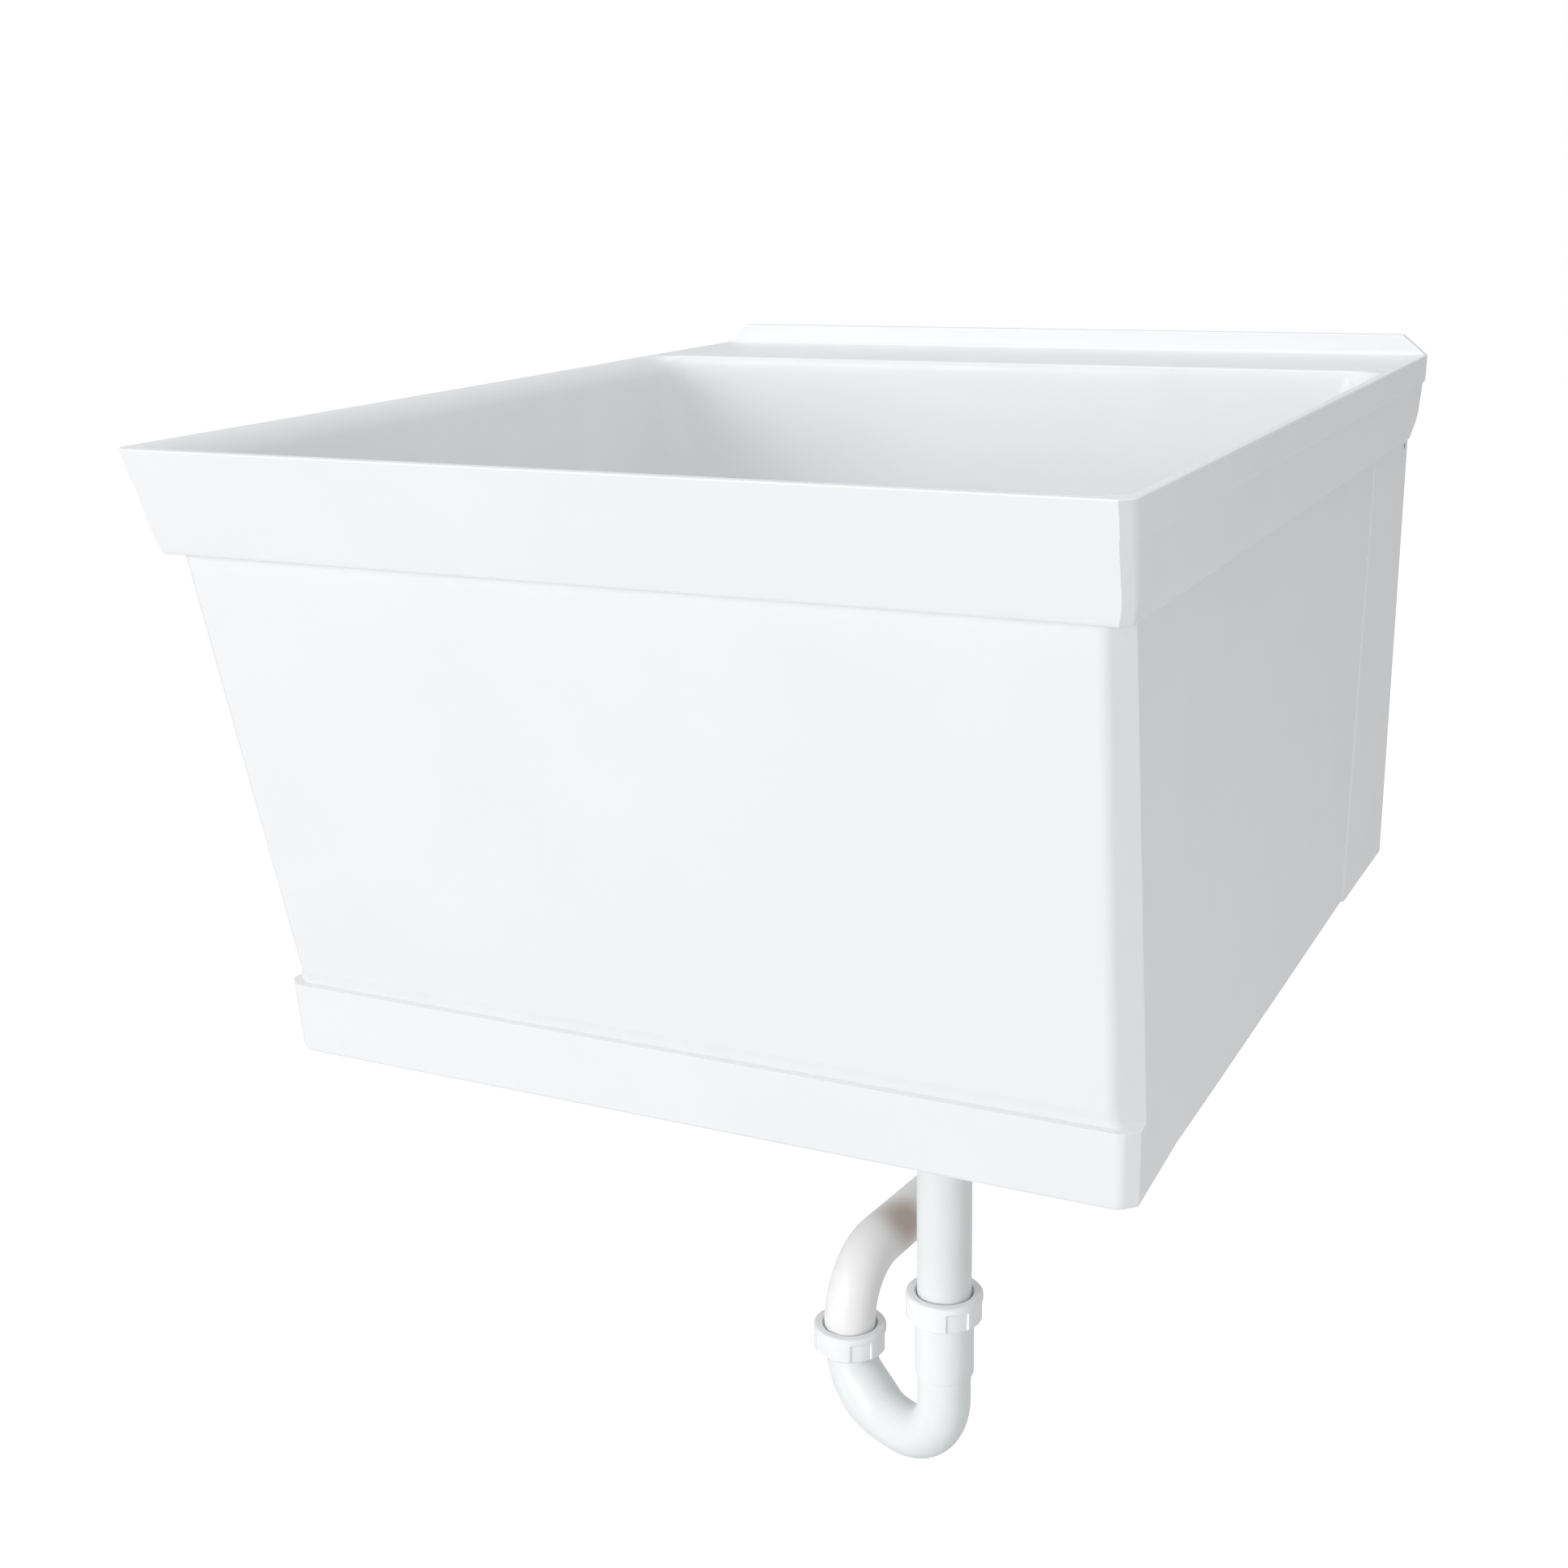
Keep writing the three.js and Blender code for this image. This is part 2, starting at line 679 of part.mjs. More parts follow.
// A ring nut with a band of raised lugs, its top or bottom end at `low` and `high`.
function luggedRing({ inner, outer, recess, lugs, low, high, lugLow, lugHigh, x, y, turn = 0 }) {
  const ring = turned(ringProfile(inner, outer, low, high), x, y);
  const half = Math.PI / (2 * lugs);
  const reach = outer + cut;
  let solid = ring;
  for (let i = 0; i < lugs; i += 1) {
    const middle = turn + (2 * Math.PI * i) / lugs;
    const pocket = new THREE.Shape();
    pocket.moveTo((outer - recess) * Math.cos(middle - half), (outer - recess) * Math.sin(middle - half));
    pocket.lineTo(reach * Math.cos(middle - half), reach * Math.sin(middle - half));
    pocket.lineTo((reach / Math.cos(half)) * Math.cos(middle), (reach / Math.cos(half)) * Math.sin(middle));
    pocket.lineTo(reach * Math.cos(middle + half), reach * Math.sin(middle + half));
    pocket.absarc(0, 0, outer - recess, middle + half, middle - half, true);
    const settings = { depth: lugHigh - lugLow, bevelEnabled: false, curveSegments: 4 };
    const geometry = new THREE.ExtrudeGeometry(pocket, settings);
    geometry.translate(x, y, lugLow);
    solid = solid.subtract(solidOf(geometry));
  }
  return solid;
}

function drainRings() {
  const gasket = ringProfile(looseBore, drainFlangeRadius - 1, gasketLow, gasketLow + gasketThickness);
  const rubber = ringProfile(looseBore, rubberWasherRadius, rubberTop - rubberWasherThickness, rubberTop);
  const friction = ringProfile(looseBore, frictionRingRadius, ringTop - frictionRingThickness, ringTop);
  const locknut = luggedRing({
    inner: looseBore,
    outer: locknutRadius,
    recess: 3,
    lugs: locknutLugs,
    low: locknutTop - locknutHeight,
    high: locknutTop,
    lugLow: locknutTop - locknutHeight - cut,
    lugHigh: locknutTop - 2.5,
    x: 0,
    y: drainY,
    turn: locknutTurn,
  });
  return [
    meshOf('drain_gasket', turned(gasket, 0, drainY), materials.rubber),
    meshOf('drain_rubber_washer', turned(rubber, 0, drainY), materials.rubber),
    meshOf('drain_friction_ring', turned(friction, 0, drainY), materials.washer),
    meshOf('drain_locknut', locknut, materials.drain),
  ];
}

function stopper() {
  const top = flangeLow + drainFlangeThickness + 1.5;
  const low = top - stopperHeight;
  const gap = runningGap;
  const slope = (drainBoreTop - drainBoreRadius) / (strainerDrop - 2);
  const seatRadius = drainBoreTop - gap;
  const lowRadius = seatRadius - slope * (flangeLow - 2 - low);
  const profile = [
    [0, low],
    [lowRadius, low],
    [seatRadius, flangeLow - 2],
    [seatRadius + 3, top - 1.6],
    [seatRadius + 3.4, top - 0.8],
    [seatRadius + 2.4, top],
    [stopperKnobRadius * 0.6, top + 1],
    [stopperKnobRadius * 0.55, top + stopperKnobHeight * 0.5],
    [stopperKnobRadius, top + stopperKnobHeight * 0.68],
    [stopperKnobRadius * 0.9, top + stopperKnobHeight * 0.9],
    [0, top + stopperKnobHeight],
  ];
  return meshOf('drain_stopper', turned(profile, 0, drainY), materials.rubber);
}

// ---- slip nuts and washers ----------------------------------------------------------------

// A slip nut: closed in at one end round the tube, open at the other for the thread.
// `capAt` is the level of the closed end, `opens` is -1 downwards or 1 upwards.
function slipNut(name, x, y, capAt, opens, holeRadius, turn) {
  const low = opens < 0 ? capAt - nutHeight : capAt;
  const capInner = capAt + opens * nutCapThickness;
  const outside = luggedRing({
    inner: holeRadius,
    outer: nutRadius,
    recess: nutRecess,
    lugs: nutLugs,
    low,
    high: low + nutHeight,
    lugLow: opens < 0 ? low - cut : low + 4,
    lugHigh: opens < 0 ? low + nutHeight - 4 : low + nutHeight + cut,
    x,
    y,
    turn: THREE.MathUtils.degToRad(turn),
  });
  const open = capAt + opens * (nutHeight + cut);
  const bore = threadRadius + runningGap;
  const thread = turned(discProfile(bore, Math.min(capInner, open), Math.max(capInner, open)), x, y);
  const bevelFoot = capAt + opens * nutBevel;
  const bevelCut = opens < 0
    ? [[nutRadius + 3, bevelFoot], [nutRadius + 3, capAt + cut], [nutRadius - nutBevel, capAt + cut],
      [nutRadius - nutBevel, capAt], [nutRadius, bevelFoot]]
    : [[nutRadius + 3, capAt - cut], [nutRadius + 3, bevelFoot], [nutRadius, bevelFoot],
      [nutRadius - nutBevel, capAt], [nutRadius - nutBevel, capAt - cut]];
  return meshOf(name, outside.subtract(thread).subtract(turned(bevelCut, x, y)), materials.pipe);
}

// A tapered slip washer between the tube, the mouth of a leg and the nut's cap.
function slipWasher(name, x, y, capAt) {
  const high = capAt - nutCapThickness - faceGap;
  const low = high - slipWasherHeight;
  const inner = tubeRadius + runningGap;
  const profile = [
    [inner + 0.9, low],
    [threadRadius - 0.3, high - 1.4],
    [threadRadius - 0.3, high],
    [inner, high],
    [inner, low],
  ];
  return meshOf(name, turned(profile, x, y), materials.washer);
}

// ---- tailpiece and trap -------------------------------------------------------------------
const tailWasherTop = drainBodyBottom - faceGap;
const tailWasherLow = tailWasherTop - 2;
const tailFlangeTop = tailWasherLow - faceGap;
const tailFlangeLow = tailFlangeTop - tailFlangeThickness;
const tailNutCap = tailFlangeLow - faceGap - nutCapThickness;
const tailBottom = tailFlangeLow - tailpieceLength;
const inletMouth = tailBottom + socketEngagement;
const inletShoulder = inletMouth - socketLength;
const outletMouth = inletMouth - nutLevelDrop;
const nutTopOver = (mouth) => mouth + slipWasherHeight + nutCapThickness + 2 * faceGap;
const inletNutTop = nutTopOver(inletMouth);
const outletNutTop = nutTopOver(outletMouth);
const bendStart = outletMouth - armEngagement - 1;
const legDirection = new THREE.Vector3(
  Math.cos(THREE.MathUtils.degToRad(legTurn)), Math.sin(THREE.MathUtils.degToRad(legTurn)), 0);
const armDirection = new THREE.Vector3(
  Math.cos(THREE.MathUtils.degToRad(armTurn)), Math.sin(THREE.MathUtils.degToRad(armTurn)), 0);
const outletX = legSpacing * legDirection.x;
const outletY = drainY + legSpacing * legDirection.y;
const down = new THREE.Vector3(0, 0, -1);
const up = new THREE.Vector3(0, 0, 1);

function tailpiece() {
  const bore = tubeRadius - tubeWall;
  const profile = [
    [tubeRadius, tailBottom],
    [tubeRadius, tailFlangeLow],
    [threadRadius - runningGap, tailFlangeLow],
    [threadRadius - runningGap, tailFlangeTop],
    [bore, tailFlangeTop],
    [bore, tailBottom],
  ];
  return meshOf('tailpiece', turned(profile, 0, drainY), materials.pipe);
}

function tailpieceWasher() {
  const profile = ringProfile(tubeRadius - tubeWall, threadRadius - runningGap, tailWasherLow, tailWasherTop);
  return meshOf('tailpiece_washer', turned(profile, 0, drainY), materials.washer);
}

function bendRoute() {
  const top = inletShoulder + overlap;
  const inletBendStart = bendStart - outletBendRadius + inletBendRadius;
  return new PipeRoute(new THREE.Vector3(0, drainY, top), down, [
    { length: top - inletBendStart },
    { radius: inletBendRadius, angle: quarter, towards: legDirection },
    { length: legSpacing - inletBendRadius - outletBendRadius },
    { radius: outletBendRadius, angle: quarter, towards: up },
    { length: overlap / 2 },
  ]);
}

function jBend() {
  const bore = tubeRadius + runningGap;
  const threadEnd = inletNutTop - nutHeight;
  const inletLeg = turned([
    [0, inletShoulder],
    [socketRadius - shoulderEdge, inletShoulder],
    [socketRadius, inletShoulder + shoulderEdge],
    [socketRadius, threadEnd],
    [threadRadius, threadEnd + 0.5],
    [threadRadius, inletMouth],
    [0, inletMouth],
  ], 0, drainY);
  const outletLeg = turned([
    [0, bendStart - 3],
    [bendTubeRadius - 0.4, bendStart - 3],
    [threadRadius, bendStart],
    [threadRadius, outletMouth],
    [0, outletMouth],
  ], outletX, outletY);
  const socket = (mouth, depth, x, y) => turned([
    [0, mouth - depth],
    [bore, mouth - depth],
    [bore, mouth - mouthBevel],
    [bore + mouthBevel, mouth],
    [bore + mouthBevel, mouth + cut],
    [0, mouth + cut],
  ], x, y);
  const inletSocket = socket(inletMouth, socketLength - 3, 0, drainY);
  const outletSocket = socket(outletMouth, outletMouth - bendStart, outletX, outletY);
  const outside = join(inletLeg, outletLeg, sweep(bendRoute(), bendTubeRadius, bendSteps, pipeSides));
  const flow = sweep(bendRoute(), bendTubeRadius - bendTubeWall, bendSteps, pipeSides);
  return meshOf('j_bend', outside.subtract(join(inletSocket, outletSocket, flow)), materials.pipe);
}

function trapArm() {
  const lowEnd = outletMouth - armEngagement;
  const elbowStart = outletNutTop + elbowRise;
  const run = (0 - outletY) / armDirection.y - armElbowRadius;
  const route = (extra) => new PipeRoute(
    new THREE.Vector3(outletX, outletY, lowEnd - extra), up, [
      { length: elbowStart - lowEnd + extra },
      { radius: armElbowRadius, angle: quarter, towards: armDirection },
      { length: run + extra },
    ]);
  const outside = sweep(route(0), tubeRadius, armSteps, pipeSides);
  const inside = sweep(route(cut), tubeRadius - tubeWall, armSteps, pipeSides);
  return meshOf('trap_arm', outside.subtract(inside), materials.pipe);
}

// ---- the whole sink -----------------------------------------------------------------------
const sink = new THREE.Group();
sink.position.z = -hangerMiddle;
sink.add(tub());
sink.add(wallHanger());
sink.add(...hangerScrews());
sink.add(drainBody());
sink.add(...drainRings());
sink.add(stopper());
sink.add(tailpieceWasher());
sink.add(slipNut('tailpiece_nut', 0, drainY, tailNutCap, 1, tubeRadius + runningGap, nutTurn));
sink.add(tailpiece());
sink.add(slipWasher('inlet_washer', 0, drainY, inletNutTop));
sink.add(slipNut('inlet_nut', 0, drainY, inletNutTop, -1, nutHoleRadius, nutTurn));
sink.add(jBend());
sink.add(slipWasher('outlet_washer', outletX, outletY, outletNutTop));
sink.add(slipNut('outlet_nut', outletX, outletY, outletNutTop, -1, nutHoleRadius, nutTurn));
sink.add(trapArm());

const group = new THREE.Group();
group.name = 'laundry_sink';
group.add(sink);

export default group;
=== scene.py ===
"""Looks of a wall-hung utility laundry sink: moulded white tub, drain, tailpiece and P-trap.

Lengths below are millimetres, measured down from the rim's top (z = 0), out from the wall
(y = 0 at the wall, -y to the front) and sideways from the drain's centre line (x = 0).
`place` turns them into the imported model's frame, in metres.
"""
import math

import bpy
from mathutils import Matrix, Vector


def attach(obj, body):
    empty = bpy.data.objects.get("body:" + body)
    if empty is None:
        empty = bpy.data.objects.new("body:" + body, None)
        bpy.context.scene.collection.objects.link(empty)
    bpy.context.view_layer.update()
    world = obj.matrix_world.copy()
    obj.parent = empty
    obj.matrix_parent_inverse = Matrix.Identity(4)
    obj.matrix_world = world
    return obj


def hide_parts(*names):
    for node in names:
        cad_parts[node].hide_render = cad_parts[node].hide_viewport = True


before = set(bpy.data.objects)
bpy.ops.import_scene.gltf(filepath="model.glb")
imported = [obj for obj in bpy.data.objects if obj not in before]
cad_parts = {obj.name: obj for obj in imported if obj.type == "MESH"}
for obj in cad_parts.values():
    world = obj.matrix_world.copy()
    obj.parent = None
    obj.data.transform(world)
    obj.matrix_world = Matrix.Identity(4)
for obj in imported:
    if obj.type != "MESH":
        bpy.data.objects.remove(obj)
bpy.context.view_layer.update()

MM = 0.001                   # one millimetre, in metres

# ---- sizes shared with the solids ----------------------------------------------------------
RIM_LEVEL = 99.35            # rim top above the wall hanger's middle
RIM_HALF = 254.0             # half the width across the rim, at the front
RIM_HALF_AT_WALL = 251.8
RIM_DEPTH = 649.0
APRON_HEIGHT = 54.0
TUB_BOTTOM = -341.0
WALL = 5.0
LEDGE_DEPTH = 122.0
DRAIN_SEAT = -303.0
FLOOR_UNDERSIDE = DRAIN_SEAT - 6.0
FLOOR_EDGE = -290.0
FLOOR_FILLET = 24.0
DRAIN_Y = -201.7
TUBE = 19.05                 # outside radius of 1-1/2 in tube
TUBE_WALL = 1.65
THREAD = 22.9                # outside radius of the slip nuts' thread
NUT = 27.1
NUT_HEIGHT = 19.5
NUT_CAP = 1.8
SLIP_WASHER = 3.6
INLET_NUT_TOP = -627.0
OUTLET_NUT_TOP = -698.0
TRAP_TURN = math.radians(154.3)
ARM_TURN = math.radians(84.0)
LEG_SPACING = 103.0          # between the trap's inlet and outlet
OUTLET = Vector((LEG_SPACING * math.cos(TRAP_TURN), DRAIN_Y + LEG_SPACING * math.sin(TRAP_TURN)))

CUT = 4.0                    # how far a cutting body runs past what it cuts
PAST_SIDES = 260.0           # half width of a body that runs past both sides of the tub
NEAR_AXIS = 0.05             # a turned solid's least radius, so that its end rings aren't points
ROUND_STEPS = 96


def place(point):
    """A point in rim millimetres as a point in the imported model's frame."""
    return Vector((point[0], point[1], point[2] + RIM_LEVEL)) * MM


def mix(low, high, share):
    """The value that lies a share of the way from low to high."""
    return low + (high - low) * share


# ---- mesh building -------------------------------------------------------------------------

def piece_from(name, points, faces):
    """A new object from points in rim millimetres."""
    mesh = bpy.data.meshes.new(name)
    mesh.from_pydata([place(p) for p in points], [], faces)
    mesh.validate()
    obj = bpy.data.objects.new(name, mesh)
    bpy.context.scene.collection.objects.link(obj)
    return obj


def skin(name, rings, closed=False):
    """A surface through rings of equal count. It is capped at both ends unless it closes on itself."""
    count = len(rings[0])
    points = [p for ring in rings for p in ring]
    faces = []
    last = len(rings) if closed else len(rings) - 1
    for k in range(last):
        here, above = k * count, ((k + 1) % len(rings)) * count
        for i in range(count):
            j = (i + 1) % count
            faces.append((here + i, here + j, above + j, above + i))
    if not closed:
        faces.append(tuple(reversed(range(count))))
        faces.append(tuple(range(last * count, (last + 1) * count)))
    return piece_from(name, points, faces)


def full_turn(steps=ROUND_STEPS):
    """Angles of points spaced evenly round a circle."""
    return [2 * math.pi * i / steps for i in range(steps)]


def turned_rings(profile, x, y):
    """Level circles round the upright line through (x, y), from [radius, z] pairs."""
    rings = []
    for radius, z in profile:
        rings.append([(x + radius * math.cos(a), y + radius * math.sin(a), z) for a in full_turn()])
    return rings


def turned(name, profile, x=0.0, y=DRAIN_Y):
    """A ring turned about an upright line. Its profile goes up the outside, in, and down the bore."""
    return skin(name, turned_rings(profile, x, y), closed=True)


def turned_solid(name, profile):
    """A solid turned about the drain's line. Its profile starts and ends near that line."""
    return skin(name, turned_rings(profile, 0.0, DRAIN_Y))


def circle_on_wall(x, y, z, radius, turns):
    """A circle that faces the wall, at depth y, round (x, z)."""
    return [(x + radius * math.cos(a), y, z + radius * math.sin(a)) for a in turns]


def block(name, low, high):
    """A box between two opposite corners."""
    (x0, y0, z0), (x1, y1, z1) = low, high
    base = [(x0, y0), (x1, y0), (x1, y1), (x0, y1)]
    return skin(name, [[(x, y, z0) for x, y in base], [(x, y, z1) for x, y in base]])


def prism(name, profile, low, high, to_point):
    """A prism on a flat profile, given as to_point(u, v, w) with w running from low to high."""
    return skin(name, [[to_point(u, v, w) for u, v in profile] for w in (low, high)])


def joined(base, *tools, how="UNION"):
    """The base piece with the tools joined on, cut away or kept in common. The tools are used up."""
    for tool in tools:
        step = base.modifiers.new("join", "BOOLEAN")
        step.operation = how
        step.solver = "MANIFOLD"
        step.object = tool
        bpy.context.view_layer.update()
        shaped = base.evaluated_get(bpy.context.evaluated_depsgraph_get())
        mesh = bpy.data.meshes.new_from_object(shaped)
        base.modifiers.clear()
        base.data = mesh
        bpy.data.objects.remove(tool)
    return base


def cut_away(base, *tools):
    """The base piece with the tools cut out of it."""
    return joined(base, *tools, how="DIFFERENCE")


def arc(centre, radius, start, end, steps):
    """Points on a round corner, from start to end degrees."""
    turns = [math.radians(mix(start, end, i / steps)) for i in range(steps + 1)]
    return [(centre[0] + radius * math.cos(a), centre[1] + radius * math.sin(a)) for a in turns]


# ---- the tub's outline ---------------------------------------------------------------------
CORNER_STEPS = 12
SIDE_STEPS = 8
LEAN = math.sin(math.radians(45))    # of the facet on the front corners


def round_corner(side, edge, radius):
    """A round front right corner."""
    return arc((side - radius, edge + radius), radius, 270, 360, CORNER_STEPS)


def faceted_corner(side, edge, soft, facet, crease):
    """A front right corner: a soft round off the front, a flat facet at 45 degrees, and a tighter
    round onto the side."""
    off_front = (side - crease * (1 - LEAN) - facet - soft * LEAN, edge + soft)
    onto_side = (side - crease, edge + soft * (1 - LEAN) + facet + crease * LEAN)
    half = CORNER_STEPS // 2
    return arc(off_front, soft, 270, 315, half) + arc(onto_side, crease, 315, 360, half - 1)


def mirrored(points):
    """The same points on the tub's left, in reverse so that the outline goes on round."""
    return [(-x, y) for x, y in reversed(points)]


def outline(z, back, side_back, radius_back, corner, flare=0.0):
    """One level of the tub seen from above, with round corners at the wall. `corner` is the front
    right one. The sides run straight from it to the wall, and the corner flares out past them."""
    rear = arc((side_back - radius_back, back - radius_back), radius_back, 0, 90, CORNER_STEPS)
    corners = [(rear, 0.0), (mirrored(rear), 0.0), (mirrored(corner), -flare), (corner, flare)]
    shares = [i / SIDE_STEPS for i in range(1, SIDE_STEPS)]
    flat = []
    for k, (points, shift) in enumerate(corners):
        flat += [(x + shift, y) for x, y in points]
        (ax, ay), (bx, by) = points[-1], corners[(k + 1) % 4][0][0]
        flat += [(mix(ax, bx, share), mix(ay, by, share)) for share in shares]
    return [(x, y, z) for x, y in flat]


def round_the_drain(ring, radius, z):
    """The ring's points drawn in to a circle round the drain."""
    drawn = []
    for x, y, _ in ring:
        turn = math.atan2(y - DRAIN_Y, x)
        drawn.append((radius * math.cos(turn), DRAIN_Y + radius * math.sin(turn), z))
    return drawn


APRON_LEAN = 19.0            # how far the apron's bottom stands back from its top
PANEL_TOP = -623.5           # where the front panel stands at the level of the apron's bottom edge
PANEL_LEAN = 50.7
BODY_TOP = -APRON_HEIGHT + 4.0
GROOVE_TOP = -286.5
GROOVE_HEIGHT = 9.0
GROOVE_DEPTH = 1.3
COVE_RISE = 0.12             # power of the corner facet's cove over the groove: less is steeper
SKIRT_TOP = -300.5
LIP_ROUND = 0.8
BASIN_LEAN = 8.0             # how far the basin's back wall slopes forward, down to the drain
PILOT_HOLE_Y = -12.0
PILOT_HOLE_Z = -57.5
PILOT_HOLE_RADIUS = 1.5


def apron_front(z):
    """Where the leaning front apron stands at one level."""
    return -RIM_DEPTH + APRON_LEAN * -z / APRON_HEIGHT


def panel_front(z):
    """Where the sloped front panel stands at one level."""
    return PANEL_TOP + PANEL_LEAN * (-z - APRON_HEIGHT) / (-GROOVE_TOP - APRON_HEIGHT)


def body_share(z):
    """How far down the body a level is: 0 at the apron's bottom edge, 1 at the tub's."""
    return min(max((-z - APRON_HEIGHT) / (-TUB_BOTTOM - APRON_HEIGHT), 0.0), 1.0)


def side_front(z):
    """Half width of the body at its front, from the apron's bottom edge down to the tub's."""
    return mix(244.4, 237.8, body_share(z))


def side_back(z):
    """Half width of the body at the wall, from the apron's bottom edge down to the tub's."""
    return mix(241.2, 238.6, body_share(z))


def basin_back(z):
    """Where the basin's back wall stands at one level."""
    return -LEDGE_DEPTH - BASIN_LEAN * -z / -DRAIN_SEAT


# ---- the tub -------------------------------------------------------------------------------

def rim_block():
    """Rolled lip, upright side band, turned-in flanks and the leaning front apron."""
    def level(z, side, at_wall, crease, shift=0.0):
        front = apron_front(z) + shift
        return outline(z, 0.0, at_wall, 2.5, faceted_corner(side, front, 0.5, 3.8, crease))

    # levels, half widths at the front and at the wall, and the round onto the side
    rings = [
        level(-APRON_HEIGHT, 247.8, 243.2, 2.4, 1.4),
        level(-53.8, 248.3, 243.6, 2.6, 0.7),
        level(-53.2, 248.7, 243.9, 2.8, 0.3),
        level(-52.2, 249.0, 244.2, 3.0),
        level(-50.0, 249.7, 244.9, 3.4),
        level(-47.0, 250.5, 245.9, 3.9),
        level(-43.0, 251.3, 247.0, 4.6),
        level(-39.0, 251.8, 247.9, 5.4),
        level(-35.0, 252.1, 248.5, 6.2),
        level(-18.6, 252.9, 249.9, 7.0),
        level(-17.6, 253.0, 250.1, 7.0),
        level(-16.8, 253.2, 250.8, 7.0),
        level(-16.1, 253.4, 251.3, 7.0),
        level(-15.2, 253.5, 251.4, 7.0),
        level(-9.0, 253.8, 251.6, 7.0),
        level(-LIP_ROUND, RIM_HALF, RIM_HALF_AT_WALL, 7.0),
    ]
    for turn in (18, 36, 54, 72, 90):
        inset = LIP_ROUND * (1 - math.cos(math.radians(turn)))
        z = LIP_ROUND * (math.sin(math.radians(turn)) - 1)
        shift = apron_front(-LIP_ROUND) - apron_front(z) + inset
        rings.append(level(z, RIM_HALF - inset, RIM_HALF_AT_WALL - inset, 7.0, shift))
    return skin("rim", rings)


def body_block():
    """Sloped front panel, groove over the skirt, upright skirt and drafted sides."""
    def level(z, front, soft, facet, flare, inset=0.0):
        corner = faceted_corner(side_front(z) - inset, front, soft, facet, 0.8)
        return outline(z, -1.0, side_back(z) - inset, 0.5, corner, flare)

    def skirt(z, proud, inset=0.0):
        """`proud` is how far the skirt stands out from the foot of the panel."""
        return level(z, panel_front(SKIRT_TOP) - proud, 7.5, 4.8, 2.3, inset)

    def panel(z, front, spread=1.0):
        """`spread` is how far the corner's facet has widened from a crease to its full width."""
        share = body_share(z)
        facet = mix(2.0, mix(8.0, 10.0, share), spread)
        return level(z, front, 8.5, facet, mix(2.0, 2.3, share))

    rings = [
        skirt(TUB_BOTTOM - CUT, -1.4, 1.4),
        skirt(TUB_BOTTOM, -1.4, 1.4),
        skirt(TUB_BOTTOM + 0.5, -0.7, 0.7),
        skirt(TUB_BOTTOM + 1.4, -0.2, 0.2),
        skirt(TUB_BOTTOM + 2.6, 0.1),
        skirt(SKIRT_TOP - 0.8, 2.95),
        skirt(SKIRT_TOP - 0.25, 2.8),
        skirt(SKIRT_TOP, 2.4),
    ]
    for share in (0.0, 0.03, 0.08, 0.18, 0.32, 0.46, 0.6, 0.74, 0.88, 1.0):
        z = SKIRT_TOP + 0.05 + GROOVE_HEIGHT * share
        dip = GROOVE_DEPTH * math.cos(share * math.pi / 2) ** 1.5
        rings.append(panel(z, panel_front(z) + dip, share ** COVE_RISE))
    rings.append(panel(BODY_TOP, panel_front(BODY_TOP)))
    return skin("body", rings)


def side_webs():
    """Webs behind the basin, a little proud of the sides, more so at the wall than at their
    slanting front edge."""
    def level(z, width, at_wall, at_edge):
        side = side_back(z)
        edge = faceted_corner(side + at_edge, -width, 0.5, at_edge + 0.4, 0.3)
        return outline(z, 0.0, side + at_wall, 2.5, edge)

    return skin("webs", [level(TUB_BOTTOM - CUT, 116.0, 2.8, 1.5), level(BODY_TOP, 106.0, 1.6, 1.2)])


def backsplash():
    """Low upright strip at the wall with a softly filled foot, its ends cut slanting."""
    profile = [(-9.8, -2.0), (0.0, -2.0), (0.0, 12.7)]
    profile += arc((-4.6, 11.3), 1.4, 90, 180, 5)
    profile += [(-6.0, 3.8)]
    profile += arc((-9.8, 3.8), 3.8, 0, -90, 6)[1:]
    strip = prism("backsplash", profile, -PAST_SIDES, PAST_SIDES, lambda u, v, w: (w, u, v))
    right = [(251.2, -3.0), (251.2, 0.0), (236.5, 12.3), (235.7, 12.7)]
    ends = right + mirrored(right)
    keep = prism("ends", ends, 12.0, -12.0, lambda u, v, w: (u, w, v))
    return joined(strip, keep, how="INTERSECT")


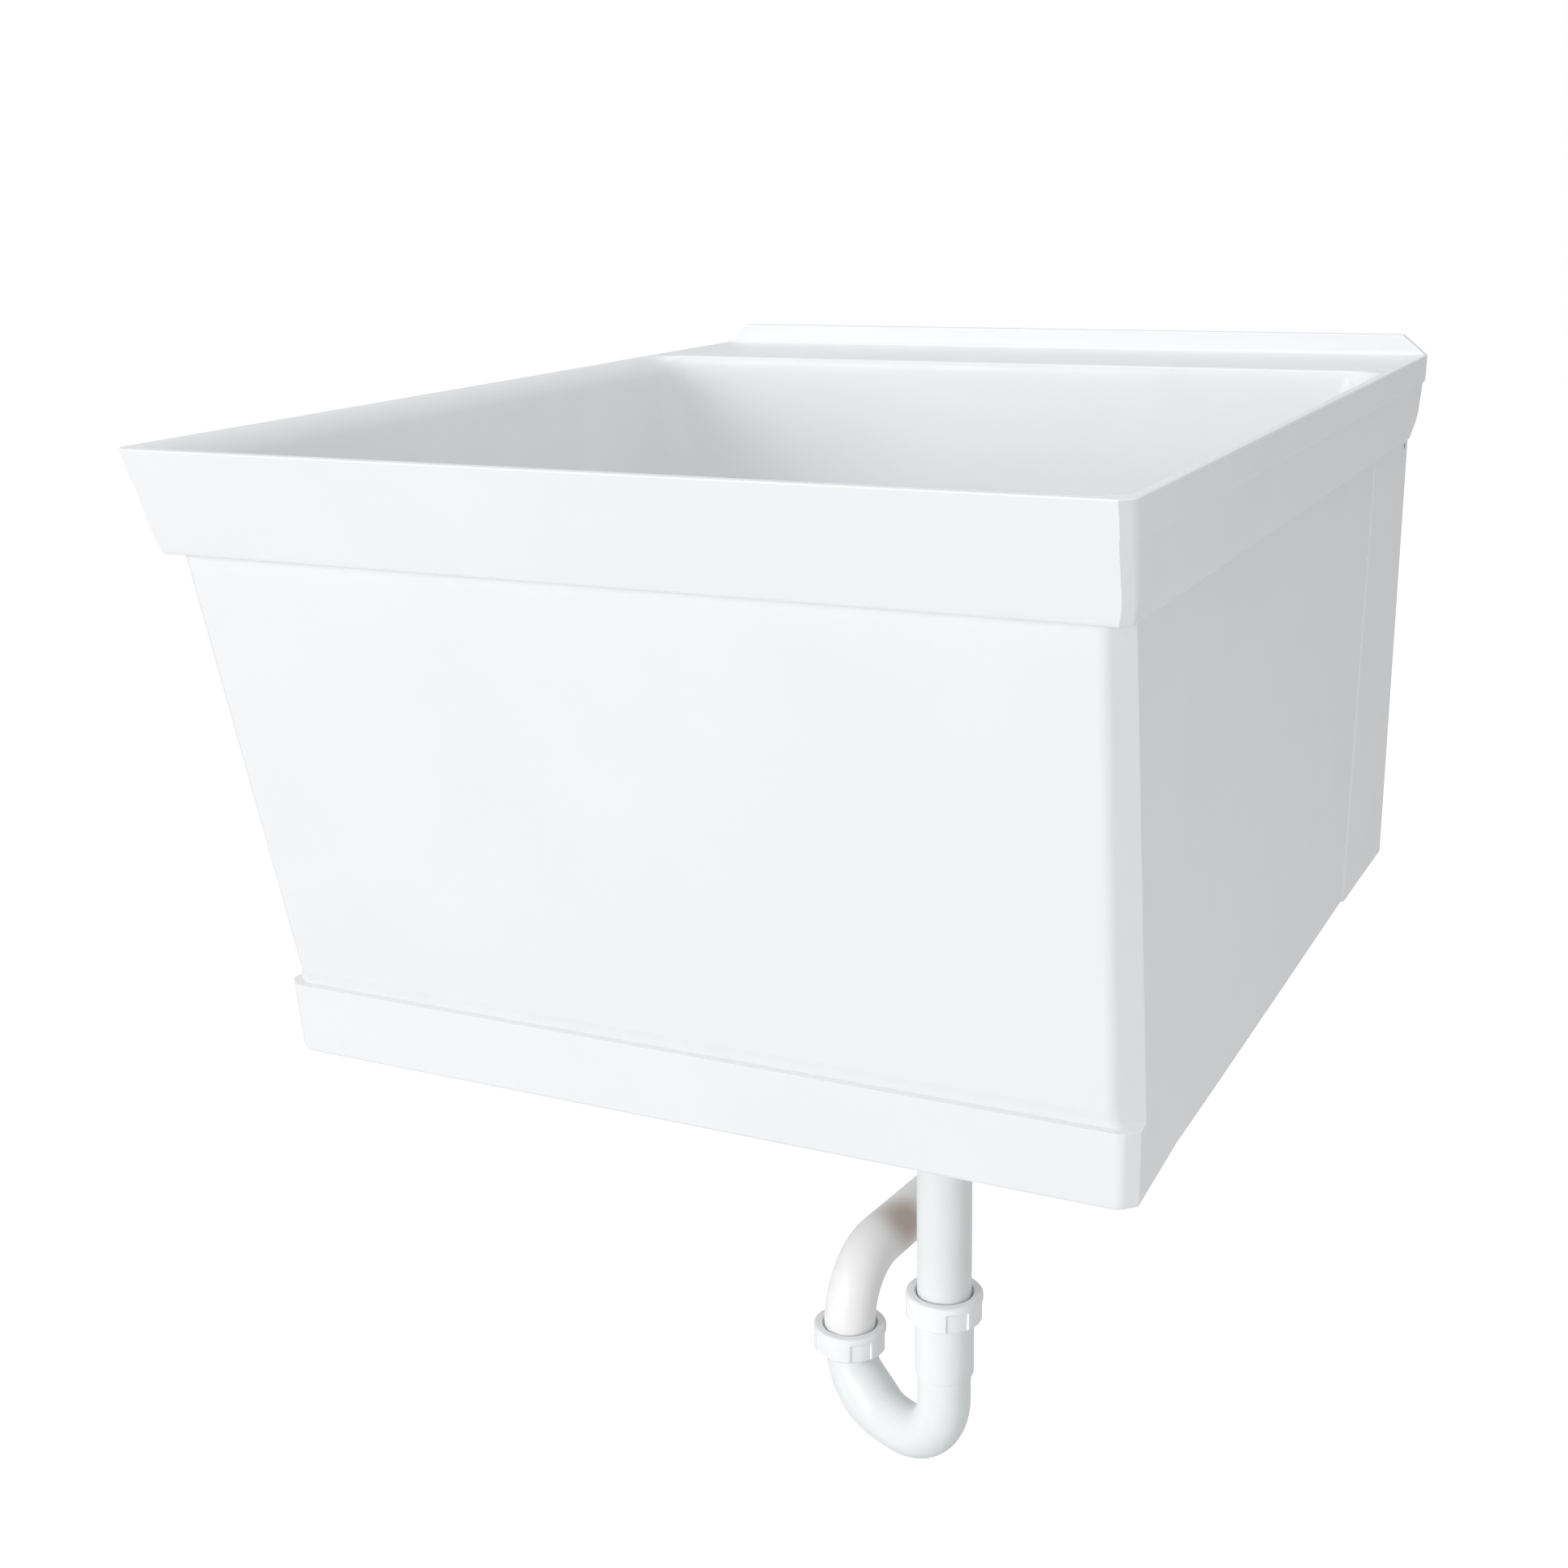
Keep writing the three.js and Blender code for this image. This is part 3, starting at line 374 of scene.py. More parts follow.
def basin_hollow():
    """Inside of the basin: rolled lip, drafted walls, rounded floor corners, and a floor that falls
    to the drain."""
    def level(z, inset):
        front = (panel_front(z) if z < -APRON_HEIGHT else PANEL_TOP) + WALL + inset
        corner = round_corner(side_front(z) - WALL - inset, front, 21.0)
        return outline(z, basin_back(z) - inset, side_back(z) - WALL - inset, 19.0, corner)

    def lip(z, side, back):
        corner = round_corner(side, -RIM_DEPTH + (RIM_HALF - side) + 2.0, 21.0)
        return outline(z, back, side - 1.8, 19.0, corner)

    floor = level(FLOOR_EDGE, FLOOR_FILLET)
    inner = round_the_drain(floor, 42.0, DRAIN_SEAT + 0.4)
    rings = [round_the_drain(floor, 38.0, DRAIN_SEAT), inner]
    for share in (0.25, 0.5, 0.75, 0.92):
        fall = mix(DRAIN_SEAT + 0.8, FLOOR_EDGE, share ** 0.85)
        rings.append([
            (mix(near[0], far[0], share), mix(near[1], far[1], share), fall)
            for near, far in zip(inner, floor)
        ])
    rings.append(floor)
    for turn in range(10, 91, 10):
        drop = FLOOR_FILLET * (1 - math.sin(math.radians(90 - turn)))
        inset = FLOOR_FILLET * (1 - math.cos(math.radians(90 - turn)))
        rings.append(level(FLOOR_EDGE + drop, inset))
    for z in (-240.0, -200.0, -150.0, -100.0, -APRON_HEIGHT):
        rings.append(level(z, 0.0))
    # the lip's levels, each with its half width at the front and its edge on the ledge
    for z, side, back in (
        (-30.0, 240.1, -122.6), (-18.0, 240.6, -122.4), (-12.4, 241.0, -122.3), (-9.6, 241.7, -122.2),
        (-7.0, 242.8, -122.15), (-4.5, 244.3, -122.0), (-2.4, 246.1, -121.7), (-0.9, 248.1, -121.0),
        (-0.25, 249.4, -120.3), (0.02, 250.3, -119.4), (CUT, 250.3, -119.4),
    ):
        rings.append(lip(z, side, back))
    return skin("basin", rings)


def under_hollow():
    """Open space under the floor, inside the skirt."""
    def level(z, inset):
        front = panel_front(max(z, SKIRT_TOP)) + WALL + GROOVE_DEPTH + inset
        corner = round_corner(side_front(z) - WALL - inset, front, 15.0)
        return outline(z, -LEDGE_DEPTH + 2 * WALL, side_back(z) - WALL - inset, 1.0, corner)

    edge = FLOOR_EDGE - WALL
    shoulder = level(edge - 0.5, 19.2)
    rings = [level(TUB_BOTTOM - 2 * CUT, 0.0), level(edge - 14.0, 0.0), level(edge - 7.0, 3.2)]
    rings += [level(edge - 2.6, 9.6), shoulder, round_the_drain(shoulder, 48.0, DRAIN_SEAT - 6.4)]
    return skin("under", rings)


def rear_hollow():
    """Open space between the webs, behind the basin and under the ledge."""
    def level(z, back):
        side = side_back(z) - WALL
        return outline(z, back, side, 0.5, round_corner(side, -LEDGE_DEPTH + WALL, 6.0))

    return skin("rear", [
        level(TUB_BOTTOM - 2 * CUT, CUT), level(-50.0, CUT), level(-50.01, -6.0), level(-6.0, -6.0),
    ])


def below_the_edge():
    """Everything under the bottom edge, which climbs 5 mm towards the wall."""
    front, skirt_front = -RIM_DEPTH - CUT, -572.8
    low, beyond = TUB_BOTTOM - 3 * CUT, 3 * CUT
    side = [(front, low), (beyond, low), (beyond, TUB_BOTTOM + 5.1)]
    side += [(skirt_front, TUB_BOTTOM), (front, TUB_BOTTOM)]
    return prism("below", side, -RIM_HALF - CUT, RIM_HALF + CUT, lambda u, v, w: (w, u, v))


def drain_opening():
    """Hole for the drain's body, the recess for its flange and the clear space under the floor."""
    return turned_solid("opening", [
        (NEAR_AXIS, TUB_BOTTOM), (44.0, TUB_BOTTOM), (44.0, FLOOR_UNDERSIDE), (24.6, FLOOR_UNDERSIDE),
        (24.6, DRAIN_SEAT), (38.0, DRAIN_SEAT), (38.6, DRAIN_SEAT + 0.6), (38.6, FLOOR_EDGE),
        (NEAR_AXIS, FLOOR_EDGE),
    ])


def pilot_holes():
    """A hole through each side web, for a screw that keeps the tub on its hanger."""
    y, z, radius = PILOT_HOLE_Y, PILOT_HOLE_Z, PILOT_HOLE_RADIUS
    circle = [(y + radius * math.cos(a), z + radius * math.sin(a)) for a in full_turn(steps=24)]
    return skin("pilot", [[(x, *point) for point in circle] for x in (-PAST_SIDES, PAST_SIDES)])


def build_tub():
    """The moulded tub: its outside joined from four bodies, then hollowed."""
    tub = joined(rim_block(), body_block(), side_webs(), backsplash())
    tub = cut_away(tub, basin_hollow(), under_hollow(), rear_hollow(), below_the_edge())
    return cut_away(tub, drain_opening(), pilot_holes())


# ---- wall hanger and its screws ------------------------------------------------------------
SHELF_TOP = -50.1
GAUGE = 2.5
HANGER_HALF = 190.0
SCREW_TOP = SHELF_TOP - GAUGE - 24.25
SCREW_STEPS = 48
SCREWS = [(side * 150.0, SCREW_TOP - row * 45.0) for side in (-1, 1) for row in (0, 1)]


def build_hanger():
    """Folded strip: plate on the wall, short shelf, and the upstand that the tub's rear flange
    hooks over."""
    outer = 3.2
    inner = outer - GAUGE
    back, front = 0.0, -8.8
    plate_low = -148.6
    profile = [(back, plate_low), (back, SHELF_TOP)]
    profile += [(front + GAUGE + inner, SHELF_TOP)]
    profile += arc((front + GAUGE + inner, SHELF_TOP + inner), inner, 270, 180, 4)[1:]
    profile += [(front + GAUGE, SHELF_TOP + 19.4), (front + GAUGE - 0.6, SHELF_TOP + 20.0)]
    profile += [(front + 0.6, SHELF_TOP + 20.0), (front, SHELF_TOP + 19.4)]
    profile += arc((front + outer, SHELF_TOP - GAUGE + outer), outer, 180, 270, 6)
    profile += [(back - GAUGE - 0.01, SHELF_TOP - GAUGE), (back - GAUGE, plate_low)]
    profile.reverse()
    hanger = prism("hanger", profile, -HANGER_HALF, HANGER_HALF, lambda u, v, w: (w, u, v))
    return cut_away(hanger, *[screw_hole(x, z) for x, z in SCREWS])


def screw_hole(x, z):
    """A round bar through the hanger's plate, to cut a 7 mm hole with."""
    turns = full_turn(steps=32)
    turns.reverse()
    return skin("hole", [circle_on_wall(x, y, z, 3.5, turns) for y in (-20.0, 20.0)])


def build_lag_screw(name, x, z):
    """Hexagon head with a chamfered face, a short plain neck and a coarse wood thread to a point."""
    head_back = -GAUGE - 0.1 - 1.6 - 0.1
    start, tip = head_back + 8.0, head_back + 38.0
    pitch = 2.6
    flats = 11.0 / 2
    core, crest = 2.3, 3.1

    def hexagon(turn, reach=math.inf):
        """The head's radius at one angle, where the chamfer leaves no more than `reach`."""
        return min(flats / math.cos((turn + math.pi / 6) % (math.pi / 3) - math.pi / 6), reach)

    def thread(turn, y):
        """The thread's radius at one angle and depth, running out at the tip."""
        ridge = abs(((y / pitch - turn / (2 * math.pi)) % 1) * 2 - 1) ** 2
        taper = min(1.0, (tip - y) / 7.0) * 0.85 + 0.1
        return taper * mix(core, crest, ridge)

    rows = [
        (head_back - 4.5, lambda turn: flats * 0.9),
        (head_back - 4.45, lambda turn: hexagon(turn, flats * 0.99)),
        (head_back - 3.9, lambda turn: hexagon(turn, flats * 1.12)),
        (head_back - 3.6, hexagon),
        (head_back, hexagon),
        (head_back + 0.01, lambda turn: crest),
        (start, lambda turn: crest),
    ]
    y = start
    while y < tip - 0.3:
        y += pitch / 8
        rows.append((y, lambda turn, y=y: thread(turn, y)))
    turns = full_turn(SCREW_STEPS)
    turns.reverse()
    rings = []
    for y, radius in rows:
        rings.append([(x + radius(a) * math.cos(a), y, z + radius(a) * math.sin(a)) for a in turns])
    return skin(name, rings)


def build_screw_washer(name, x, z):
    """Flat steel washer with its front edge rounded by the punch."""
    front, back = -4.2, -2.6
    profile = [(8.0, back), (8.0, front + 0.3), (7.7, front), (3.4, front), (3.4, back)]
    rings = [circle_on_wall(x, y, z, radius, full_turn(SCREW_STEPS)) for radius, y in profile]
    return skin(name, rings, closed=True)


# ---- drain ---------------------------------------------------------------------------------
FLANGE_LOW = -301.4
DRAIN_BOTTOM = -349.4
DRAIN_BODY = 24.0            # outside radius of the drain's upper thread
DRAIN_BORE = 17.4
LOOSE_BORE = 24.3            # bore of what goes over that thread
DRAIN_PITCH = 2.2            # from ridge to ridge of the drain's thread
LUG_STEPS = 360


def thread_profile(root, crest, low, high):
    """Outline of the drain's thread, ridge by ridge from low to high."""
    profile = []
    z = low
    while z < high:
        profile += [(root, z), (crest, z + 0.7), (crest, z + 1.2), (root, z + 1.9)]
        z += DRAIN_PITCH
    return profile


def build_drain_body():
    """Flanged drain with a threaded tail and a cross-bar strainer."""
    profile = [(22.1, DRAIN_BOTTOM)]
    profile += thread_profile(22.0, THREAD, DRAIN_BOTTOM + 0.8, DRAIN_BOTTOM + 22.0)
    profile += [(22.4, DRAIN_BOTTOM + 23.2)]
    profile += thread_profile(23.2, DRAIN_BODY, DRAIN_BOTTOM + 24.0, FLOOR_UNDERSIDE)
    profile += [(DRAIN_BODY, FLANGE_LOW - 4.0), (DRAIN_BODY, FLANGE_LOW)]
    rim_and_funnel = [
        (34.0, 0.0), (34.0, 1.2), (33.7, 2.0), (32.8, 2.7), (31.4, 3.0), (27.0, 2.8), (25.0, 2.4),
        (22.6, 0.6), (21.0, -2.0), (DRAIN_BORE, -14.0),
    ]
    profile += [(radius, FLANGE_LOW + rise) for radius, rise in rim_and_funnel]
    profile += [(DRAIN_BORE, DRAIN_BOTTOM)]
    drain = turned("drain_body_fine", profile)
    low = FLANGE_LOW - 17.0
    bars = []
    for x, y in ((18.6, 1.5), (1.5, 18.6)):
        bars.append(block("bar", (-x, DRAIN_Y - y, low), (x, DRAIN_Y + y, low + 3.0)))
    return joined(drain, *bars)


def build_plain_ring(name, inner, outer, low, high, edge=0.3):
    """A flat ring with its edges taken off."""
    return turned(name, [
        (outer - edge, low), (outer, low + edge), (outer, high - edge), (outer - edge, high),
        (inner + edge, high), (inner, high - edge), (inner, low + edge), (inner + edge, low),
    ])


def lugged_radius(turn, outer, recess, lugs, phase):
    """Outer radius of a nut at one angle: raised lugs with hollows as wide between them."""
    place_in_lug = ((turn - phase) * lugs / (2 * math.pi) + 0.25) % 1.0
    slope = 0.012            # share of a lug's pitch that the flank takes up
    if place_in_lug < 0.5:
        depth = min(place_in_lug, 0.5 - place_in_lug) / slope
        return outer - recess * min(depth, 1.0)
    return outer


def lugged_nut(name, rows, lugs, recess, phase, x, y):
    """A nut from [radius, z, share of the hollows' depth] rows that go round its section."""
    rings = []
    for radius, z, share in rows:
        ring = []
        for a in full_turn(LUG_STEPS):
            r = lugged_radius(a, radius, recess * share, lugs, phase)
            ring.append((x + r * math.cos(a), y + r * math.sin(a), z))
        rings.append(ring)
    return skin(name, rings, closed=True)


def build_locknut():
    """Locknut with eight wide lugs under a plain rim."""
    top, low = -313.3, -323.3
    rows = [(36.2, low, 1.0), (37.0, low + 0.8, 1.0), (37.0, top - 3.2, 1.0), (37.0, top - 2.5, 0.0)]
    rows += [(37.0, top - 0.6, 0.0), (36.4, top, 0.0), (24.9, top, 0.0), (LOOSE_BORE, top - 0.6, 0.0)]
    rows += [(LOOSE_BORE, low + 0.6, 0.0), (24.9, low, 0.0)]
    return lugged_nut("drain_locknut_fine", rows, lugs=8, recess=3.0, phase=0.09, x=0.0, y=DRAIN_Y)


def build_stopper():
    """Rubber stopper: tapered plug, thin lip and a waisted knob."""
    top = FLANGE_LOW + 4.5
    plug = [(NEAR_AXIS, top - 15.0), (16.6, top - 15.0), (17.1, top - 14.4), (20.7, FLANGE_LOW - 2.0)]
    lip_and_knob = [
        (23.7, -1.6), (24.1, -0.8), (23.8, -0.25), (23.1, 0.0), (9.0, 0.5), (6.0, 1.0), (4.6, 2.2),
        (3.9, 4.2), (3.9, 6.4), (4.6, 7.8), (6.4, 8.8), (7.0, 10.0), (6.8, 11.4), (5.6, 12.5),
        (3.4, 12.95), (NEAR_AXIS, 13.0),
    ]
    upper = [(radius, top + rise) for radius, rise in lip_and_knob]
    return turned_solid("drain_stopper_fine", plug + upper)


# ---- tailpiece and trap --------------------------------------------------------------------
TAIL_NUT_CAP = -355.5        # underside of the nut on the tailpiece's flange
TAIL_FLANGE_LOW = -353.6
INLET_MOUTH = INLET_NUT_TOP - NUT_CAP - 0.2 - SLIP_WASHER
OUTLET_MOUTH = OUTLET_NUT_TOP - NUT_CAP - 0.2 - SLIP_WASHER
ARM_LOW = OUTLET_MOUTH - 8.7
BEND_START = ARM_LOW - 1.0
SHOULDER = INLET_MOUTH - 57.4
INLET_BEND = 46.5            # radii of the trap's bends, at the tube's middle
OUTLET_BEND = 44.0
ARM_BEND = 45.4
BEND = 18.9                  # outside radius of the J-bend's tube
BEND_BORE = 16.7
SOCKET_BORE = 19.4           # where a 1-1/2 in tube slips in
BEND_STEPS = 30
NUT_HOLE = 20.6
NUT_PHASE = math.radians(-48)


def build_tailpiece():
    """Long tube with a flange at its top, which the upper slip nut draws against the drain."""
    low, flange = INLET_MOUTH - 27.0, TAIL_FLANGE_LOW
    bore = TUBE - TUBE_WALL
    return turned("tailpiece_fine", [
        (TUBE - 0.4, low), (TUBE, low + 0.4), (TUBE, flange - 1.5), (TUBE + 0.5, flange - 0.4),
        (TUBE + 1.4, flange), (22.3, flange), (22.6, flange + 0.3), (22.6, flange + 1.7),
        (22.3, flange + 2.0), (bore + 0.4, flange + 2.0), (bore, flange + 1.5), (bore, low),
    ])


def build_slip_nut(name, x, y, cap, opens, hole):
    """Slip nut: smooth ring at the closed end, raised lugs down to the open end. `opens` is 1 where
    that end is up and -1 where it is down."""
    open_end, lip = NUT_HEIGHT, NUT_CAP
    outer = [(NUT - 2.4, 0.0, 0.0), (NUT - 1.5, 0.12, 0.0), (NUT - 0.7, 0.55, 0.0)]
    outer += [(NUT - 0.15, 1.3, 0.0), (NUT, 2.2, 0.0), (NUT, 5.0, 0.0), (NUT, 5.6, 0.55)]
    outer += [(NUT, 6.4, 1.0), (NUT, open_end - 1.6, 1.0), (NUT - 0.5, open_end - 0.6, 0.85)]
    outer += [(NUT - 1.3, open_end, 0.5)]
    bore = [(23.9, open_end, 0.0), (23.2, open_end - 0.8, 0.0), (23.2, lip, 0.0)]
    bore += [(hole + 0.1, lip, 0.0), (hole, lip - 0.1, 0.0), (hole, 0.5, 0.0), (hole + 0.5, 0.0, 0.0)]
    rows = [(radius, cap + opens * depth, share) for radius, depth, share in outer + bore]
    if opens < 0:
        rows.reverse()
    return lugged_nut(name, rows, lugs=5, recess=1.5, phase=NUT_PHASE, x=x, y=y)


def build_slip_washer(name, x, y, cap):
    """Cone-edged slip washer, under the cap of a slip nut that is closed at its top."""
    high = cap - NUT_CAP - 0.1
    low = high - SLIP_WASHER
    return turned(name, [
        (20.3, low), (21.0, low + 0.6), (22.6, high - 1.4), (22.6, high - 0.3), (22.3, high),
        (19.65, high), (19.35, high - 0.3), (19.35, low + 0.2), (19.6, low),
    ], x, y)


def bent_skin(name, stations):
    """A bent tube: stations hold centre, heading and radius, out along the outside and back along
    the bore."""
    bend_normal = None
    for _, heading, _ in stations:
        flat = Vector((heading.x, heading.y, 0.0))
        if flat.length > 0.2:
            bend_normal = flat.normalized().cross(Vector((0, 0, 1)))
            break
    rings = []
    for centre, heading, radius in stations:
        up = bend_normal.cross(heading).normalized()
        ring = []
        for a in full_turn():
            ring.append(tuple(centre + radius * (math.cos(a) * bend_normal + math.sin(a) * up)))
        rings.append(ring)
    return skin(name, rings, closed=True)


def bend_stations(start, heading, towards, radius):
    """Centres and headings on a quarter bend that turns from heading towards another direction."""
    stations = []
    for i in range(BEND_STEPS + 1):
        turn = math.radians(90 * i / BEND_STEPS)
        centre = start + heading * radius * math.sin(turn) + towards * radius * (1 - math.cos(turn))
        stations.append((centre, heading * math.cos(turn) + towards * math.sin(turn)))
    return stations


def swelling(angle):
    """How far the wall on the inside of the outlet bend stands out, by degrees from the bottom: most
    at 33 degrees, and nothing from 45 degrees off it."""
    return 1.9 * math.cos(math.radians(2 * (angle - 33))) ** 2 if -12 < angle < 78 else 0.0


def build_j_bend():
    """Trap bend: threaded mouth, long collar and shoulder on the inlet leg, two quarter bends, and a
    flared threaded mouth at the outlet."""
    down, up = Vector((0, 0, -1)), Vector((0, 0, 1))
    across = Vector((math.cos(TRAP_TURN), math.sin(TRAP_TURN), 0))
    inlet = Vector((0, DRAIN_Y, 0))
    outlet = Vector((OUTLET.x, OUTLET.y, 0))
    inlet_start = BEND_START - OUTLET_BEND + INLET_BEND
    thread_end = INLET_NUT_TOP - NUT_HEIGHT
    first = bend_stations(inlet + up * inlet_start, down, across, INLET_BEND)
    straight = LEG_SPACING - INLET_BEND - OUTLET_BEND
    second = bend_stations(first[-1][0] + across * straight, across, up, OUTLET_BEND)
    route = first + second

    def leg(centre, heading, levels):
        return [(centre + up * z, heading, r) for r, z in levels]

    outside = leg(inlet, down, [
        (22.4, INLET_MOUTH), (THREAD, INLET_MOUTH - 0.6), (THREAD, thread_end + 0.6),
        (22.3, thread_end + 0.2), (20.9, thread_end), (20.8, thread_end - 0.4),
        (20.8, SHOULDER + 0.7), (20.7, SHOULDER + 0.3), (20.4, SHOULDER), (18.3, SHOULDER - 0.05),
        (18.3, SHOULDER - 0.9), (BEND, SHOULDER - 1.4), (BEND, inlet_start + 1.0),
    ])
    outside += [(centre, heading, BEND) for centre, heading in first]
    for number, (centre, heading) in enumerate(second[:-2]):
        angle = 90 * number / (len(second) - 1)
        swell = swelling(angle)
        inward = up * math.cos(math.radians(angle)) - across * math.sin(math.radians(angle))
        outside.append((centre + inward * swell, heading, BEND + swell))
    outside += leg(outlet, up, [
        (19.4, BEND_START - 2.0), (21.6, BEND_START - 0.6), (THREAD, BEND_START + 0.6),
        (THREAD, OUTLET_MOUTH - 0.6), (22.4, OUTLET_MOUTH),
    ])
    bore = leg(outlet, up, [
        (20.95, OUTLET_MOUTH), (SOCKET_BORE, OUTLET_MOUTH - 1.6), (SOCKET_BORE, BEND_START + 0.5),
        (BEND_BORE, BEND_START + 0.2),
    ])
    bore += [(centre, heading, BEND_BORE) for centre, heading in reversed(route)]
    bore += leg(inlet, down, [
        (BEND_BORE, SHOULDER + 2.8), (SOCKET_BORE, SHOULDER + 3.0), (SOCKET_BORE, INLET_MOUTH - 1.6),
        (20.95, INLET_MOUTH),
    ])
    return bent_skin("j_bend_fine", outside + bore)


def build_trap_arm():
    """Tube that rises out of the bend, turns through a quarter and runs level to the wall."""
    up = Vector((0, 0, 1))
    away = Vector((math.cos(ARM_TURN), math.sin(ARM_TURN), 0))
    low = Vector((OUTLET.x, OUTLET.y, ARM_LOW))
    elbow = Vector((OUTLET.x, OUTLET.y, OUTLET_NUT_TOP + 1.0))
    route = bend_stations(elbow, up, away, ARM_BEND)
    wall_end = route[-1][0] + away * (-OUTLET.y / away.y - ARM_BEND)
    bore = TUBE - TUBE_WALL
    outside = [(low, up, TUBE - 0.4), (low + up * 0.4, up, TUBE)]
    outside += [(centre, heading, TUBE) for centre, heading in route]
    outside += [(wall_end - away * 0.4, away, TUBE), (wall_end, away, TUBE - 0.4)]
    inside = [(wall_end, away, bore)]
    inside += [(centre, heading, bore) for centre, heading in reversed(route)]
    inside += [(low, up, bore)]
    return bent_skin("trap_arm_fine", outside + inside)


# ---- materials -----------------------------------------------------------------------------

def colour(hex_text):
    """An sRGB hex value as linear colour."""
    values = [int(hex_text[i:i + 2], 16) / 255 for i in (1, 3, 5)]
    linear = [v / 12.92 if v <= 0.04045 else ((v + 0.055) / 1.055) ** 2.4 for v in values]
    return (*linear, 1.0)


def node(tree, kind, inputs=None, **settings):
    """Adds a node with its settings, and sets or links its inputs."""
    made = tree.nodes.new(kind)
    for name, value in settings.items():
        setattr(made, name, value)
    for name, value in (inputs or {}).items():
        if isinstance(value, bpy.types.NodeSocket):
            tree.links.new(value, made.inputs[name])
        else:
            made.inputs[name].default_value = value
    return made


def blank_material(name):
    """A new material with no nodes, and its tree."""
    material = bpy.data.materials.new(name)
    material.use_nodes = True
    tree = material.node_tree
    tree.nodes.clear()
    return material, tree


def per_metre(size_mm):
    """A texture's scale: how many of its features, of this real size, lie in a metre."""
    return 1000.0 / size_mm


def mottled(tree, place_in, light, dark, patch_mm):
    """Colour that drifts between two close shades in patches of about patch_mm."""
    cloud = node(tree, "ShaderNodeTexNoise", {
        "Vector": place_in, "Scale": per_metre(patch_mm), "Detail": 3.0,
    })
    spread = node(tree, "ShaderNodeMapRange", {
        "Value": cloud.outputs["Fac"], "From Min": 0.35, "From Max": 0.65, "To Min": 0.0, "To Max": 0.5,
    })
    blend = node(tree, "ShaderNodeMix", {"Factor": spread.outputs["Result"]}, data_type="RGBA")
    blend.inputs[6].default_value = colour(light)
    blend.inputs[7].default_value = colour(dark)
    return blend.outputs[2]


def with_painted_shade(tree, place_in, paint, shade_colour, centre, reach_mm):
    """The paint with a soft spot of painted shade round one point, strongest in the middle."""
    apart = node(tree, "ShaderNodeVectorMath", {0: place_in, 1: centre}, operation="DISTANCE")
    fade = node(tree, "ShaderNodeMapRange", {
        "Value": apart.outputs["Value"], "From Min": 0.15 * reach_mm * MM, "From Max": reach_mm * MM,
        "To Min": 1.0, "To Max": 0.0,
    }, interpolation_type="SMOOTHSTEP")
    blend = node(tree, "ShaderNodeMix", {"Factor": fade.outputs["Result"]}, data_type="RGBA")
    tree.links.new(paint, blend.inputs[6])
    blend.inputs[7].default_value = colour(shade_colour)
    return blend.outputs[2]


def moulded_polypropylene(name, light, dark, sag_mm, roughness=0.34, grain_mm=0.7,
                          grain_depth_mm=0.01, painted_shade=None):
    """White moulded polypropylene: a satin skin with the mould's grain, and faint wide sags where the
    wall shrank, which bend the reflections a little. The photograph shows no grain. Mould grain is
    usually too fine to show at this size, so it is drawn coarser than that. The last argument, where
    given, is the colour, centre and reach of a spot of painted shade."""
    material, tree = blank_material(name)
    place_in = node(tree, "ShaderNodeTexCoord").outputs["Object"]
    grain = node(tree, "ShaderNodeTexNoise", {
        "Vector": place_in, "Scale": per_metre(grain_mm), "Detail": 2.0,
    })
    sag = node(tree, "ShaderNodeTexNoise", {
        "Vector": place_in, "Scale": per_metre(160.0), "Detail": 1.0,
    })
    wide = node(tree, "ShaderNodeBump", {
        "Height": sag.outputs["Fac"], "Distance": sag_mm * MM, "Strength": 1.0,
    })
    fine = node(tree, "ShaderNodeBump", {
        "Height": grain.outputs["Fac"], "Distance": grain_depth_mm * MM, "Strength": 0.6,
        "Normal": wide.outputs["Normal"],
    })
    rubbed = node(tree, "ShaderNodeTexNoise", {
        "Vector": place_in, "Scale": per_metre(45.0), "Detail": 4.0,
    })
    dull = node(tree, "ShaderNodeMapRange", {
        "Value": rubbed.outputs["Fac"], "From Min": 0.3, "From Max": 0.7,
        "To Min": roughness - 0.03, "To Max": roughness + 0.04,
    })
    paint = mottled(tree, place_in, light, dark, 70.0)
    # a spot of painted shade, where one is given, darkens the colour round its centre
    if painted_shade:
        paint = with_painted_shade(tree, place_in, paint, *painted_shade)
    shader = node(tree, "ShaderNodeBsdfPrincipled", {
        "Base Color": paint, "Roughness": dull.outputs["Result"], "IOR": 1.49,
        "Normal": fine.outputs["Normal"],
    })
    node(tree, "ShaderNodeOutputMaterial", {"Surface": shader.outputs["BSDF"]})
    return material


def moulded_rubber(name):
    """Black moulded rubber: dull, with a fine dusty bloom."""
    material, tree = blank_material(name)
    place_in = node(tree, "ShaderNodeTexCoord").outputs["Object"]
    bloom = node(tree, "ShaderNodeTexNoise", {
        "Vector": place_in, "Scale": per_metre(1.6), "Detail": 4.0,
    })
    bump = node(tree, "ShaderNodeBump", {
        "Height": bloom.outputs["Fac"], "Distance": 0.05 * MM, "Strength": 0.5,
    })
    shader = node(tree, "ShaderNodeBsdfPrincipled", {
        "Base Color": mottled(tree, place_in, "#262627", "#3A3A3B", 6.0),
        "Roughness": 0.72, "IOR": 1.52, "Normal": bump.outputs["Normal"],
    })
    node(tree, "ShaderNodeOutputMaterial", {"Surface": shader.outputs["BSDF"]})
    return material


